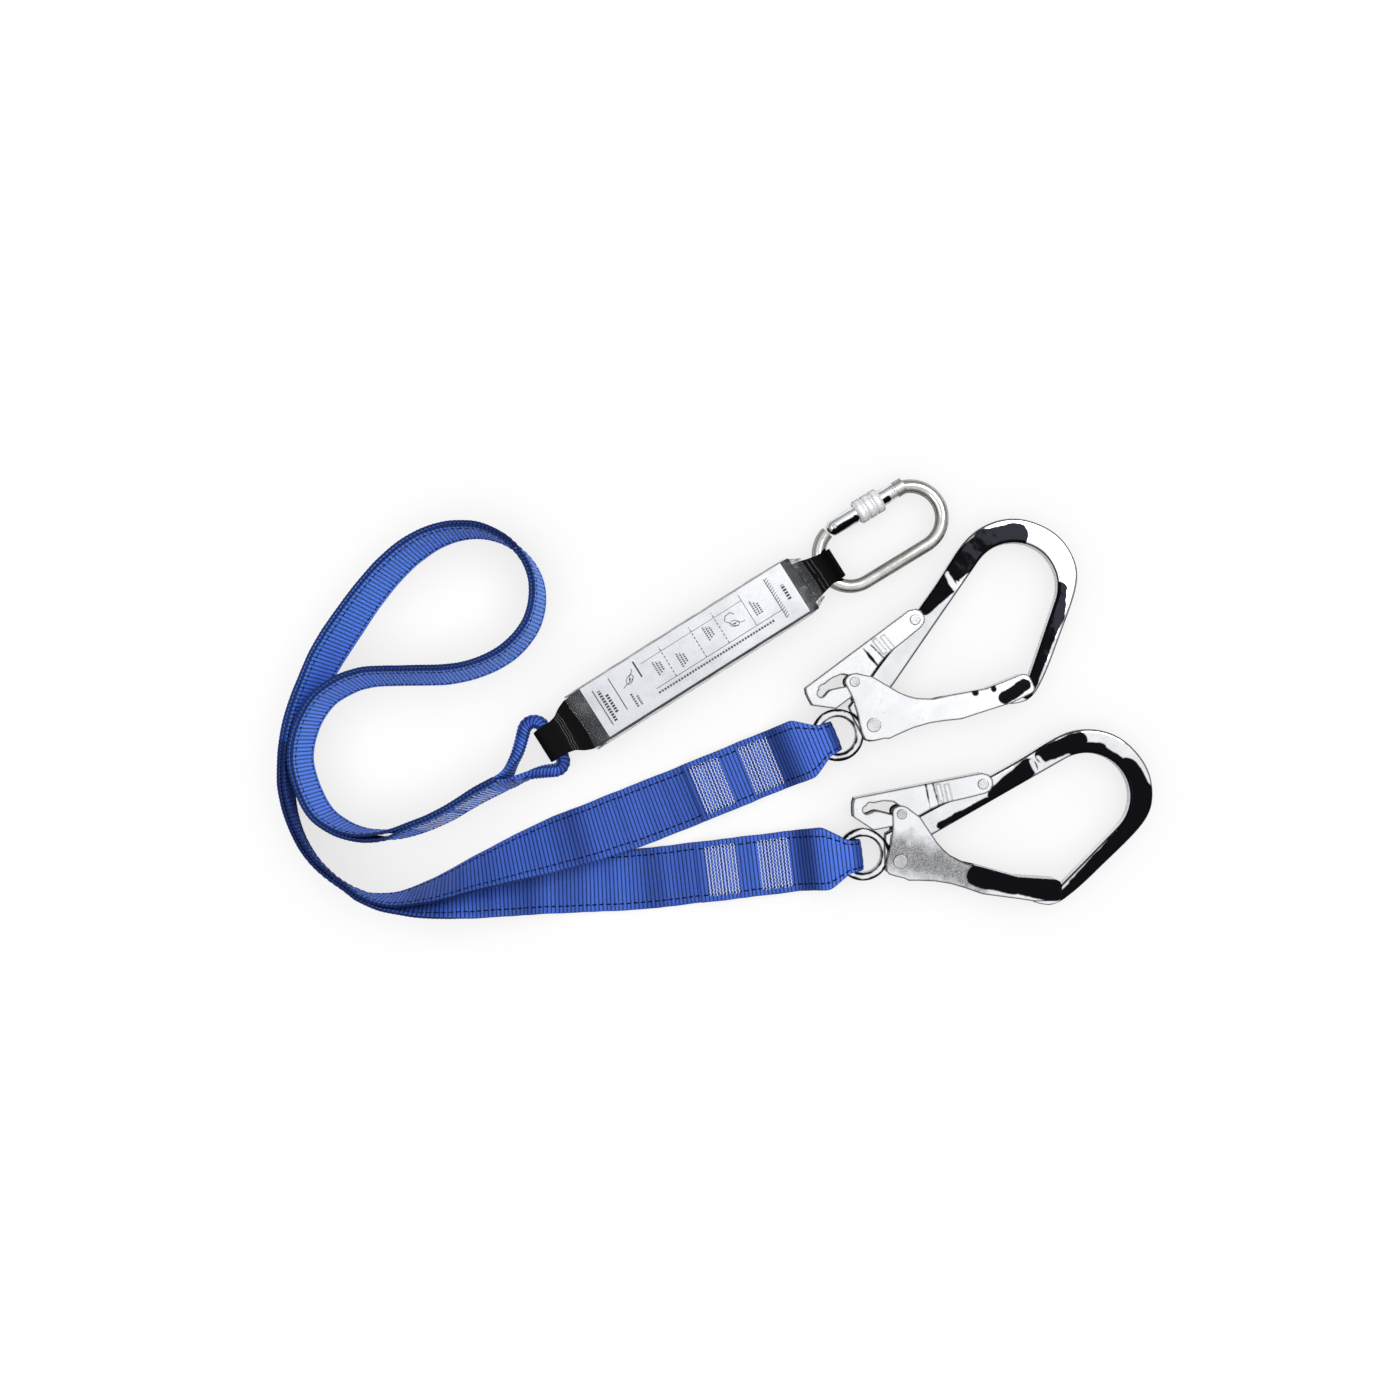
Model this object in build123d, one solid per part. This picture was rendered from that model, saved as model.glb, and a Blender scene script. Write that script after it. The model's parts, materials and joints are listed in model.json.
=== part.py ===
"""Twin-leg shock absorbing lanyard, laid coiled on a flat floor.

Millimetres, +Z up, floor at z = 0. A pack-shaped absorber lies aslant with a karabiner on its
+X end. From its other end two plies of webbing, standing on edge, run round a coil on the -X
side, part, lie down flat and end on two scaffold hooks on the +X side. Leg and hook "a" lie
at the greater y, "b" at the lesser y.
"""
from build123d import *
import math
import os

# ---- webbing ----
WEB_W = 45.0          # width
PLY_T = 2.0           # one ply
PLY_GAP = 0.15        # clearance of folded plies
FLOOR_GAP = 0.05
STITCH_T = 0.5        # thread that stands on the webbing
STATION_STEP = 9.0    # spacing of the loft sections along a leg

# ---- absorber ----
ABS_ANGLE = 32.2      # absorber axis, from +X
ABS_CENTRE = (-6.0, 33.9)
ABS_Z = 12.0          # mid-plane height
PACK_HALF_L, PACK_HALF_H = 93.0, 12.0
FILM_T = 0.6
EYE_T = 2.2
EYE_TIP_W = 11.6      # half width of both eyes at their tips
LAN_EYE_X = -120.5    # lanyard-side swing axis, along the absorber axis from its centre
LAN_EYE_R = 6.6       # inner radius
KAR_EYE_X = 116.0
KAR_EYE_R = 8.0

# ---- karabiner ----
KAR_ANGLE = 31.4
KAR_Z = 10.6
KAR_ROD = 5.0         # rod radius
KAR_BEND = 23.25      # centreline bend radius
KAR_HALF = 25.75      # half of the straight centreline
KAR_AXIS_IN = 2.2     # webbing eye's axis, from the end rod's centreline into the karabiner

# ---- hooks ----
HOOK_MID = 11.7       # mid-plane height
HOOK_T = 12.0         # forged body thickness
HOOK_A = (126.3, -18.2, 25.6)    # gate pivot x, y and turn
HOOK_B = (145.6, -117.3, 0.0)
RING = (-26.5, 4.4)   # eye ring centre from the gate pivot
RING_T = 8.0
RING_HOLE, RING_OUT = 13.2, 19.2
RING_MID = (RING_HOLE + RING_OUT) / 2
AXIS_IN = 2.2         # webbing loop's swing axis, from RING_MID towards the ring's centre

CENTRE = (12.65, 2.08)   # centre of the laid-out lanyard's box, moved to the origin

# Shared centreline of the two plies: x, y, lean from upright in degrees (+ leans the top edge
# to the right of travel), spacing between the plies' middles.
COIL = [
    (-144.6, -60.7, 20, 2.6), (-159.8, -68.6, 20, 2.6), (-170.7, -75.2, 20, 2.6),
    (-181.6, -81.7, 20, 2.6), (-192.5, -87.2, 20, 2.6), (-203.3, -91.5, 18, 2.6),
    (-214.1, -95.4, 12, 3.2), (-224.9, -98.0, 6, 4.8), (-235.8, -98.7, 1, 4.9),
    (-246.7, -97.6, -1, 3.6), (-259.7, -93.2, -3, 2.8), (-271.4, -85.6, -4, 2.8),
    (-278.6, -76.9, -5, 2.8), (-284.4, -64.6, -5, 2.8), (-288.4, -52.2, -5, 2.8),
    (-289.8, -40.6, -5, 2.8), (-287.6, -25.4, -6, 2.8), (-281.2, -10.2, -7, 2.8),
    (-271.8, 2.0, -9, 2.8), (-257.7, 11.2, -11, 2.7), (-246.8, 15.2, -12, 2.6),
    (-235.9, 17.1, -13, 2.6), (-214.1, 17.6, -13, 2.6), (-192.4, 18.0, -13, 2.6),
    (-181.5, 18.9, -12, 2.6), (-170.6, 20.7, -11, 2.6), (-159.7, 23.9, -10, 2.6),
    (-148.8, 28.7, -9, 2.7), (-137.9, 35.9, -8, 2.8), (-128.4, 45.7, -7, 2.8),
    (-121.2, 58.0, -6, 2.8), (-117.9, 72.6, -5, 2.8), (-119.0, 87.1, -3, 2.8),
    (-125.2, 100.8, -1, 2.8), (-136.0, 112.6, 1, 2.8), (-148.0, 119.6, 3, 2.8),
    (-159.6, 123.0, 5, 2.8), (-170.5, 123.4, 6, 2.8), (-181.4, 121.9, 8, 2.8),
    (-192.3, 118.3, 10, 2.8), (-203.2, 112.7, 12, 2.8), (-214.1, 104.9, 13, 2.8),
    (-225.0, 94.7, 14, 2.8), (-236.0, 82.2, 15, 2.8), (-246.9, 67.9, 16, 2.8),
    (-257.8, 52.1, 17, 2.8), (-263.6, 43.4, 17, 2.8), (-272.3, 28.8, 16, 2.8),
    (-279.4, 14.5, 13, 2.8), (-285.6, 1.5, 10, 2.8), (-291.2, -10.9, 6, 2.9),
    (-296.3, -25.4, 1, 3.1), (-299.4, -40.6, -3, 3.3), (-300.4, -54.4, -5, 3.4),
    (-299.9, -65.3, -6, 3.4), (-296.7, -82.7, -8, 3.4), (-289.9, -101.0, -10, 3.3),
    (-280.2, -116.3, -11, 3.2), (-268.2, -128.1, -12, 3.2), (-256.2, -136.4, -11, 3.2),
]
# The plies part here. Each one's own centreline from the coil to its flex line: x, y, lean.
RUN_A = [
    (-244.4, -141.2, -6), (-235.7, -143.4, -1), (-227.0, -144.4, 3), (-218.3, -144.0, 7),
    (-200.9, -140.0, 14), (-183.1, -134.0, 21), (-160.0, -124.8, 30), (-131.1, -114.0, 43),
    (-103.0, -104.4, 57), (-73.5, -94.8, 68), (-47.0, -85.4, 80), (-33.0, -80.2, 88),
    (-20.7, -75.4, 90),
]
RUN_B = [
    (-246.2, -144.6, -8), (-229.3, -148.0, 2), (-209.8, -147.6, 15), (-192.3, -145.0, 30),
    (-174.9, -141.4, 45), (-160.6, -138.9, 58), (-132.3, -136.0, 75), (-103.0, -134.8, 86),
    (-73.8, -133.9, 90), (-46.0, -132.4, 90), (-33.2, -131.2, 90),
]


# ================================================================ helpers
def save(name, *solids):
    """Write one piece, with the whole lanyard's box centred on the origin in plan."""
    shift = Location((-CENTRE[0], -CENTRE[1], 0))
    export_step(Compound(children=[s.moved(shift) for s in solids]), f"parts/{name}.step")


def add(a, b, k=1.0):
    return tuple(x + k * y for x, y in zip(a, b))


def unit(a):
    n = math.sqrt(sum(x * x for x in a))
    return tuple(x / n for x in a)


def cross(a, b):
    return (a[1] * b[2] - a[2] * b[1], a[2] * b[0] - a[0] * b[2], a[0] * b[1] - a[1] * b[0])


def turned(point, centre, degrees):
    a = math.radians(degrees)
    x, y = point[0] - centre[0], point[1] - centre[1]
    return (centre[0] + x * math.cos(a) - y * math.sin(a),
            centre[1] + x * math.sin(a) + y * math.cos(a))


def neighbours(items, i):
    """The items before and after item i, or item i itself at an end."""
    return items[max(i - 1, 0)], items[min(i + 1, len(items) - 1)]


def heading(items, i):
    """Plan direction at item i of a line whose items start with x, y."""
    a, b = neighbours(items, i)
    return unit((b[0] - a[0], b[1] - a[1], 0))


def smoothstep(f):
    return 3 * f * f - 2 * f ** 3


def smooth(points):
    """Catmull-Rom through the points, resampled in plan. Every value is carried along."""
    out = []
    for i in range(len(points) - 1):
        p1, p2 = points[i], points[i + 1]
        p0, p3 = points[max(i - 1, 0)], points[min(i + 2, len(points) - 1)]
        n = max(1, round(math.dist(p1[:2], p2[:2]) / STATION_STEP))
        for j in range(n):
            t = j / n
            out.append(tuple(
                0.5 * (2 * b + (c - a) * t + (2 * a - 5 * b + 4 * c - d) * t * t
                       + (3 * b - a - 3 * c + d) * t ** 3)
                for a, b, c, d in zip(p0, p1, p2, p3)))
    out.append(points[-1])
    return out


def offsets(middle, thickness, level_at=()):
    """Left and right sides of a band round its middle line; where s is in level_at the band
    is taken as level."""
    left, right = [], []
    for i, (s, z) in enumerate(middle):
        p, q = neighbours(middle, i)
        rise = 0 if s in level_at else q[1] - p[1]
        d = unit((q[0] - p[0], rise, 0))
        left.append((s - d[1] * thickness / 2, z + d[0] * thickness / 2))
        right.append((s + d[1] * thickness / 2, z - d[0] * thickness / 2))
    return left, right


def polygon(points):
    return Wire.make_polygon([Vector(*p) for p in points], close=True)


def loft(rings):
    return Solid.make_loft([polygon(ring) for ring in rings], ruled=True)


def plate(points, z0, z1):
    face = Face(polygon([(x, y, z0) for x, y in points]))
    return Solid.extrude(face, Vector(0, 0, z1 - z0))


def strap(profile, half_w):
    """Side profile in (x, z), extruded across y."""
    face = Face(polygon([(x, -half_w, z) for x, z in profile]))
    return Solid.extrude(face, Vector(0, 2 * half_w, 0))


def mirrored(half):
    """Closed outline from its -y half."""
    return half + [(x, -y) for x, y in reversed(half)]


def cyl(x, y, z0, z1, r):
    return Solid.make_cylinder(r, z1 - z0, Plane((x, y, z0)))


def one(shape):
    """The largest solid of a boolean's result."""
    return max(shape.solids(), key=lambda s: s.volume)


def place(shape, x, y, z, turn):
    return shape.moved(Location((x, y, z), (0, 0, turn)))


def wire_rings(points, radius, axis):
    """Hexagonal sections of a wire along points that wind round an axis."""
    rings = []
    for i, point in enumerate(points):
        before, after = neighbours(points, i)
        along = unit(add(after, before, -1))
        side = unit(cross(along, axis))
        up = cross(side, along)
        rings.append([
            add(add(point, side, radius * math.cos(math.pi * k / 3)),
                up, radius * math.sin(math.pi * k / 3))
            for k in range(6)])
    return rings


# ================================================================ webbing legs
def section(c, u, n, w, t, chamfer=0.0):
    """Corners of a flat section: u is the width direction and n the thickness direction."""
    a, b = w / 2, t / 2
    if chamfer:
        e = chamfer
        corners = [(a, -b + e), (a, b - e), (a - e, b), (-a + e, b),
                   (-a, b - e), (-a, -b + e), (-a + e, -b), (a - e, -b)]
    else:
        corners = [(a, -b), (a, b), (-a, b), (-a, -b)]
    return [add(add(c, u, x), n, y) for x, y in corners]


def leaning(travel, lean):
    """Width and thickness directions of webbing leaning to the right of travel."""
    right = (travel[1], -travel[0], 0)
    lam = math.radians(lean)
    u = add(tuple(math.sin(lam) * k for k in right), (0, 0, 1), math.cos(lam))
    return u, cross(travel, u)


def frames(line, side, last=None):
    """Frames (centre, width, normal, travel) of one ply; side -1 is the left ply.

    last overrides the direction of travel at the end of the line.
    """
    out = []
    for i, (x, y, lean, gap) in enumerate(line):
        travel = last if last and i == len(line) - 1 else heading(line, i)
        u, n = leaning(travel, lean)
        lam = math.radians(lean)
        z = WEB_W / 2 * abs(math.cos(lam)) + PLY_T / 2 * abs(math.sin(lam)) + FLOOR_GAP
        c = add((x, y, z), n, side * gap / 2)
        out.append(((c[0], c[1], z), u, n, travel))
    return out


def leg_axis(run, hook):
    """Direction of a leg's flat end, and how far along it the hook's swing axis lies."""
    start = run[-1]
    dx, dy = turned(RING, (0, 0), hook[2])
    rx, ry = hook[0] + dx, hook[1] + dy
    length = math.hypot(rx - start[0], ry - start[1])
    direction = ((rx - start[0]) / length, (ry - start[1]) / length, 0)
    return direction, length - RING_MID + AXIS_IN


def leg_frames(run, side, direction):
    """Coil and own run of one ply, ending just short of the flex line."""
    # the run is this ply's own middle, so its spacing is zero
    own = smooth([p + (0.0,) for p in run])
    out = frames(smooth(COIL), side) + frames(own, side, last=direction)
    c, u, n, travel = out[-1]
    out[-1] = (add(c, travel, -(PLY_T / 2 + PLY_GAP)), u, n, travel)
    return out


def leg_webbing(leg):
    return loft([section(c, u, n, WEB_W, PLY_T) for c, u, n, _ in leg])


# ================================================================ thread
def zigzag(across, along, rows, width):
    """Outline of one continuous zigzag thread, rows runs across a block."""
    pitch = along / rows
    middle = [(-along / 2 + i * pitch, (across / 2) * (1 if i % 2 else -1))
              for i in range(rows + 1)]
    left, right = [], []
    for i, (x, y) in enumerate(middle):
        p, q = neighbours(middle, i)
        if i in (0, rows):
            d = heading(middle, i)
            n = (-d[1], d[0])
            k = width / 2
        else:
            d1 = unit((x - p[0], y - p[1], 0))
            d2 = unit((q[0] - x, q[1] - y, 0))
            n = unit((-(d1[1] + d2[1]), d1[0] + d2[0], 0))
            k = width / 2 / max(0.2, abs(n[0] * -d1[1] + n[1] * d1[0]))
            k = min(k, width * 1.6)      # limits the mitre at the sharp turns
        left.append((x + n[0] * k, y + n[1] * k))
        right.append((x - n[0] * k, y - n[1] * k))
    return left + right[::-1]


def thread_block(frame, face, lift, across, along, rows, width):
    """Zigzag of thread on a flat section; face -1 puts it on the side against the normal."""
    c, u, n, travel = frame
    n = tuple(face * k for k in n)
    base = add(c, n, lift)
    points = [add(add(base, travel, x), u, y) for x, y in zigzag(across, along, rows, width)]
    return Solid.extrude(Face(polygon(points)), Vector(*n) * STITCH_T)


def eye_stitching(leg):
    """Two zigzag blocks on the left face of the left ply, near the start of the coil."""
    blocks = []
    for x_at in (-157.0, -186.0):
        nearest = min(range(1, 14), key=lambda k: abs(leg[k][0][0] - x_at))
        blocks.append(thread_block(leg[nearest], face=-1, lift=PLY_T / 2 + 0.25,
                                   across=36.0, along=15.0, rows=10, width=0.8))
    return blocks


# ================================================================ sewn eye of the lanyard
EYE_HALF = 13.0           # straight strand, each side of the absorber axis
BEND_UP, BEND_DOWN = 7.6, 6.6
STRAND = (10.0, 9.4, 2.8, 0)     # width, thickness, chamfer and lean of the bunched strand
SEWN = (44.6, 2.0, 0.45)         # width, thickness and chamfer where it meets a ply
SEWN_LAP = 0.3                   # gap from the ply's end

# x, y, z, width, thickness, chamfer, lean
GATHER = [
    (-139.9, -53.6, 20.4, 33.0, 3.4, 0.9, -15), (-136.2, -45.6, 16.8, 20.0, 6.0, 1.7, -9),
    (-132.6, -36.6, 14.0, 12.5, 8.4, 2.5, -4),
]
SPREAD = [
    (-114.5, -52.4, 13.0, 11.0, 9.0, 2.7, 0), (-122.5, -54.2, 15.2, 16.0, 7.2, 2.1, 5),
    (-130.5, -57.2, 18.6, 27.0, 4.6, 1.3, 11), (-137.4, -60.4, 20.8, 37.0, 2.8, 0.8, 16),
]


def on_abs(a, b, z):
    """Point a along and b across the absorber, seen from above."""
    x, y = turned((a, b), (0, 0), ABS_ANGLE)
    return (ABS_CENTRE[0] + x, ABS_CENTRE[1] + y, z)


def strand_bend(across, r, a0, a1, n):
    """Bend that leaves or joins the straight strand at a place across the absorber."""
    cx, cy, _ = on_abs(LAN_EYE_X - r, across, 0)
    out = []
    for i in range(n + 1):
        a = math.radians(a0 + (a1 - a0) * i / n)
        out.append((cx + r * math.cos(a), cy + r * math.sin(a), ABS_Z + 0.1, *STRAND))
    return out


def lanyard_eye(leg_a, leg_b):
    """One folded strand from the right ply, through the absorber's eye, to the left ply."""
    start, end = leg_b[0][0], leg_a[0][0]
    back = tuple(-k for k in leg_b[0][3][:2]) + (0,)
    path = [(*add(start, back, SEWN_LAP), *SEWN, -20)]
    path += GATHER
    path += strand_bend(EYE_HALF, BEND_UP, 165, ABS_ANGLE, 9)
    path += [(*on_abs(LAN_EYE_X, b, ABS_Z), *STRAND) for b in (6.5, 0, -6.5)]
    path += strand_bend(-EYE_HALF, BEND_DOWN, ABS_ANGLE, -84, 8)
    path += SPREAD
    path += [(*add(end, back, SEWN_LAP), *SEWN, 20)]
    rings = []
    for i, (x, y, z, w, t, chamfer, lean) in enumerate(path):
        travel = heading(path, i)
        if i == 0:
            travel = back
        if i == len(path) - 1:
            travel = (-back[0], -back[1], 0)
        u, n = leaning(travel, lean)
        rings.append(section((x, y, z), u, n, w, t, chamfer))
    return loft(rings)


# ================================================================ flat leg tails
LOOP_IN, LOOP_SHIFT = 8.4, 3.4   # loop round the hook's ring; its nose centre past the axis
LOW_Z = FLOOR_GAP + PLY_T / 2            # middle of the lower ply
FOLD_Z = LOW_Z + PLY_T + PLY_GAP         # middle of the folded-back ply


def tail_profile(axis, fold_end):
    """(s, z) outline, s from the flex line: lower ply, loop, folded-back ply."""
    r = LOOP_IN + PLY_T / 2
    loop_s = axis + LOOP_SHIFT
    s1, s2 = axis - 34.0, axis - 4.5     # the plies rise between these

    def ease(a, b, n=10):
        return [(s1 + (s2 - s1) * i / n, a + (b - a) * smoothstep(i / n)) for i in range(n + 1)]

    middle = [(s1 * k / 6, LOW_Z) for k in range(6)]
    middle += ease(LOW_Z, HOOK_MID - r)
    middle += [(loop_s, HOOK_MID - r)]
    middle += [(loop_s + r * math.sin(math.pi * i / 18), HOOK_MID - r * math.cos(math.pi * i / 18))
               for i in range(1, 19)]
    middle += reversed(ease(FOLD_Z, HOOK_MID + r))
    middle += [(fold_end + (s1 - fold_end) * k / 5, FOLD_Z) for k in range(4, -1, -1)]
    left, right = offsets(middle, PLY_T)
    # round end about the flex line
    nose = [(-PLY_T / 2 * math.sin(math.pi * i / 8), LOW_Z + PLY_T / 2 * math.cos(math.pi * i / 8))
            for i in range(1, 8)]
    return right + left[::-1] + nose


def leg_tail(start, direction, axis, fold_end):
    """Folded webbing end, narrowed in plan to pass through the hook's ring."""
    tip, half = axis + LOOP_SHIFT + LOOP_IN + PLY_T + 1, WEB_W / 2
    plan = mirrored([(-3, -half), (axis - 13.0, -half), (axis + 2.0, -12.0), (tip, -11.0)])
    body = one(strap(tail_profile(axis, fold_end), WEB_W) & plate(plan, -5, 40))
    return place(body, start[0], start[1], 0, math.degrees(math.atan2(direction[1], direction[0])))


def tail_stitching(start, direction, places):
    """Zigzag blocks on top of the folded-back ply."""
    blocks = []
    for s in places:
        c = (start[0] + direction[0] * s, start[1] + direction[1] * s, FOLD_Z)
        frame = (c, (-direction[1], direction[0], 0), (0, 0, 1), direction)
        blocks.append(thread_block(frame, face=1, lift=PLY_T / 2 + 0.02,
                                   across=36.0, along=23.0, rows=18, width=0.7))
    return blocks


# ================================================================ absorber
# Own frame: x along towards the karabiner, y across, z up from the floor.
FOLDS, FOLD_PITCH, TEAR_T, TEAR_HALF = 7, 2.7, 1.9, 70.0
FOLD_MIDS = [ABS_Z - 1.2 + (i - (FOLDS - 1) / 2) * FOLD_PITCH for i in range(FOLDS)]

# x, half width, half height of the pack
PACK = [
    (-PACK_HALF_L, 22.6, 7.0), (-88, 22.9, 9.0), (-82, 22.6, 11.6), (-74, 22.4, PACK_HALF_H),
    (0, 22.2, PACK_HALF_H), (74, 21.8, PACK_HALF_H), (82, 21.8, 11.6), (88, 22.2, 9.0),
    (PACK_HALF_L, 22.0, 7.0),
]


def put_abs(shape):
    return place(shape, *ABS_CENTRE, 0, ABS_ANGLE)


def rounded(x, hw, hh, r, n=4):
    """Rounded rectangle ring across the pack at x."""
    points = []
    corners = ((hw - r, hh - r), (-hw + r, hh - r), (-hw + r, -hh + r), (hw - r, -hh + r))
    for quarter, (cy, cz) in enumerate(corners):
        for i in range(n + 1):
            a = math.radians(90 * quarter + 90 * i / n)
            points.append((x, cy + r * math.cos(a), ABS_Z + cz + r * math.sin(a)))
    return points


def pack(inset):
    return loft([rounded(x, hw - inset, hh - inset, 2.6 - inset * 0.6) for x, hw, hh in PACK])


def mouth(x0, half_w, half_h=6.3):
    """Cutter that opens one end of the sleeve."""
    return Solid.make_box(2, 2 * half_w, 2 * half_h, Plane((x0, -half_w, ABS_Z - half_h)))


def absorber_sleeve():
    sleeve = pack(0.0) - pack(FILM_T) - mouth(-PACK_HALF_L - 1, 21.9) - mouth(PACK_HALF_L - 1, 21.3)
    return put_abs(one(sleeve))


def absorber_tear_webbing():
    """Webbing folded to and fro, with a half-round turn between folds."""
    middle = []
    r = FOLD_PITCH / 2
    for i, z in enumerate(FOLD_MIDS):
        s = 1 if i % 2 == 0 else -1
        turn_x = s * TEAR_HALF
        middle += [(-turn_x, z), (turn_x, z)]
        if i < FOLDS - 1:
            turn_z = (z + FOLD_MIDS[i + 1]) / 2
            middle += [(turn_x + s * r * math.sin(math.pi * k / 8),
                        turn_z - r * math.cos(math.pi * k / 8)) for k in range(1, 8)]
    left, right = offsets(middle, TEAR_T, level_at=(-TEAR_HALF, TEAR_HALF))
    return put_abs(strap(left + right[::-1], 19.5))


def flat_strip(length, width, height, z):
    return put_abs(Solid.make_box(length, width, height, Plane((-length / 2, -width / 2, z))))


def absorber_eye(tip, inner, r_in, z_tip, w_inner, direction):
    """Webbing loop whose two plies close up in the sleeve; direction +1 is to the karabiner."""
    r = r_in + EYE_T / 2
    reach = abs(tip - inner)
    n = 14

    def ply(side):
        out = [(inner, ABS_Z + side * (EYE_T / 2 + 0.1))]
        for i in range(1, 9):
            e = smoothstep(i / 8)
            out.append((inner + direction * (2 + (reach - 4) * i / 8),
                        out[0][1] * (1 - e) + (z_tip + side * r) * e))
        return out

    bend = [(tip + direction * r * math.sin(math.pi * i / n), z_tip + r * math.cos(math.pi * i / n))
            for i in range(n + 1)]
    left, right = offsets(ply(1) + bend + ply(-1)[::-1], EYE_T)
    end = tip + direction * (r + EYE_T + 1)
    plan = mirrored([(inner - direction, -w_inner), (inner + direction * 18, -w_inner),
                     (tip - direction * 4, -EYE_TIP_W), (end, -EYE_TIP_W)])
    return put_abs(one(strap(left + right[::-1], 40) & plate(plan, -10, 40)))


# ================================================================ karabiner
# Own frame: x along it away from the absorber, y towards the gate, z = 0 in its plane.
GATE_Y = KAR_BEND                    # gate axis
GATE_R = 6.1
HINGE_X, NOSE_X = -25.5, 27.2        # gate pin, and the face of the nose
GATE_END = 26.5
PIN_R = 1.6
NOSE_PIN_X, NOSE_PIN_R = 24.3, 1.4
TONGUE_X, TONGUE_R = -34.0, 4.3      # root of the hinge tongue, and its round end
TONGUE_T = 4.0
FORK_GAP = 4.4                       # slots in the gate for the tongue and the latch
LOCK_R, LOCK_BORE = 9.0, 6.55
LOCK_X, LOCK_L = -6.2, 20.2
BANDS = ((0.8, 6.0), (7.4, 12.8), (14.2, 19.4))    # knurled bands along the lock sleeve
KNURLS = 56

# x, y from the gate axis
LATCH = [
    (NOSE_X + 1, 3.6), (21.4, 3.6), (20.8, 3.0), (20.8, -1.2), (22.4, -1.2), (22.4, 1.75),
    (26.2, 1.75), (26.2, -3.2), (NOSE_X + 1, -3.2),
]
TONGUE = [(TONGUE_X, -5.0), (HINGE_X, -TONGUE_R), (HINGE_X, TONGUE_R), (TONGUE_X, 3.6)]


def put_kar(shape):
    eye_x, eye_y, _ = on_abs(KAR_EYE_X, 0, 0)
    reach = KAR_HALF + KAR_BEND - KAR_AXIS_IN
    a = math.radians(KAR_ANGLE)
    return place(shape, eye_x + reach * math.cos(a), eye_y + reach * math.sin(a),
                 KAR_Z, KAR_ANGLE)


def barrel(x, length, r, y=GATE_Y):
    """Cylinder along x."""
    return Solid.make_cylinder(r, length, Plane(origin=(x, y, 0), z_dir=(1, 0, 0)))


def mid_plate(outline):
    points = [(x, GATE_Y + y) for x, y in outline]
    return plate(points, -TONGUE_T / 2, TONGUE_T / 2)


def fork_slot(x, length):
    return Solid.make_box(length, 16, FORK_GAP, Plane((x, GATE_Y - 8, -FORK_GAP / 2)))


def karabiner_rod():
    """The C of rod between the hinge tongue and the nose."""
    h, r = KAR_HALF, KAR_BEND
    nose_angle = math.degrees(math.acos((NOSE_X - h) / r))
    hinge = math.acos((-32.0 + h) / r)
    bend_nose = Edge.make_circle(r, Plane((h, 0, 0)), start_angle=-90, end_angle=nose_angle)
    straight = Edge.make_line(Vector(-h, -r, 0), Vector(h, -r, 0))
    bend_hinge = Edge.make_circle(r, Plane((-h, 0, 0)), start_angle=math.degrees(hinge),
                                  end_angle=270)
    start = Vector(-h + r * math.cos(hinge), r * math.sin(hinge), 0)
    tangent = Vector(-math.sin(hinge), math.cos(hinge), 0)
    profile = Wire.make_circle(KAR_ROD, Plane(origin=start, z_dir=tangent))
    return Solid.sweep(profile, Wire([bend_hinge, straight, bend_nose]))


def karabiner_body():
    """Rod, thicker nose collar with a latch in the middle plane, and hinge tongue."""
    rod = karabiner_rod()
    nose = barrel(NOSE_X, 6.5, GATE_R, y=GATE_Y - 0.2)
    tongue = mid_plate(TONGUE) + cyl(HINGE_X, GATE_Y, -TONGUE_T / 2, TONGUE_T / 2, TONGUE_R)
    body = rod + nose + mid_plate(LATCH) + tongue
    return one(body - cyl(HINGE_X, GATE_Y, -3, 3, PIN_R + 0.05))


def karabiner_gate():
    gate = barrel(HINGE_X, GATE_END - HINGE_X, GATE_R)
    gate = gate + Solid.make_sphere(GATE_R).moved(Location((HINGE_X, GATE_Y, 0)))
    gate = gate - fork_slot(HINGE_X - 9, 17.0)           # hinge fork
    gate = gate - fork_slot(19.6, 8)                     # nose fork
    gate = gate - barrel(HINGE_X + 7, 24.0, 2.55)        # spring bore
    gate = gate - cyl(HINGE_X, GATE_Y, -8, 8, PIN_R + 0.03)
    gate = gate - cyl(NOSE_PIN_X, GATE_Y, -8, 8, NOSE_PIN_R + 0.03)
    return one(gate)


def karabiner_lock_sleeve():
    """Three knurled bands on a tube bored to slide over the gate and the nose."""
    lock = barrel(LOCK_X, LOCK_L, LOCK_R - 0.9)
    knurl = []
    for i in range(KNURLS):
        a = math.radians(i * 360 / KNURLS)
        r = LOCK_R if i % 2 else LOCK_R - 0.55
        knurl.append((r * math.cos(a), r * math.sin(a)))
    for x0, x1 in BANDS:
        face = Face(polygon([(LOCK_X + x0, GATE_Y + p, q) for p, q in knurl]))
        lock = lock + Solid.extrude(face, Vector(x1 - x0, 0, 0))
    return one(lock - barrel(LOCK_X - 1, LOCK_L + 2, LOCK_BORE))


def karabiner_gate_plunger():
    """Stepped plunger between the tongue and the spring."""
    return one(barrel(HINGE_X + 7.2, 7.0, 2.45) + barrel(HINGE_X + 4.6, 2.8, 1.9))


def karabiner_gate_spring():
    """Compression spring in the gate's bore, faceted along its helix."""
    radius, wire, length, turns, per_turn = 1.75, 0.4, 15.6, 9, 10
    plane = Plane(origin=(HINGE_X + 14.8, GATE_Y, 0), z_dir=(1, 0, 0))
    n = turns * per_turn
    points = []
    for i in range(n + 1):
        a = 2 * math.pi * i / per_turn
        local = Vector(radius * math.cos(a), radius * math.sin(a), length * i / n)
        points.append(tuple(plane.from_local_coords(local)))
    return loft(wire_rings(points, wire, (1, 0, 0)))


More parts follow.
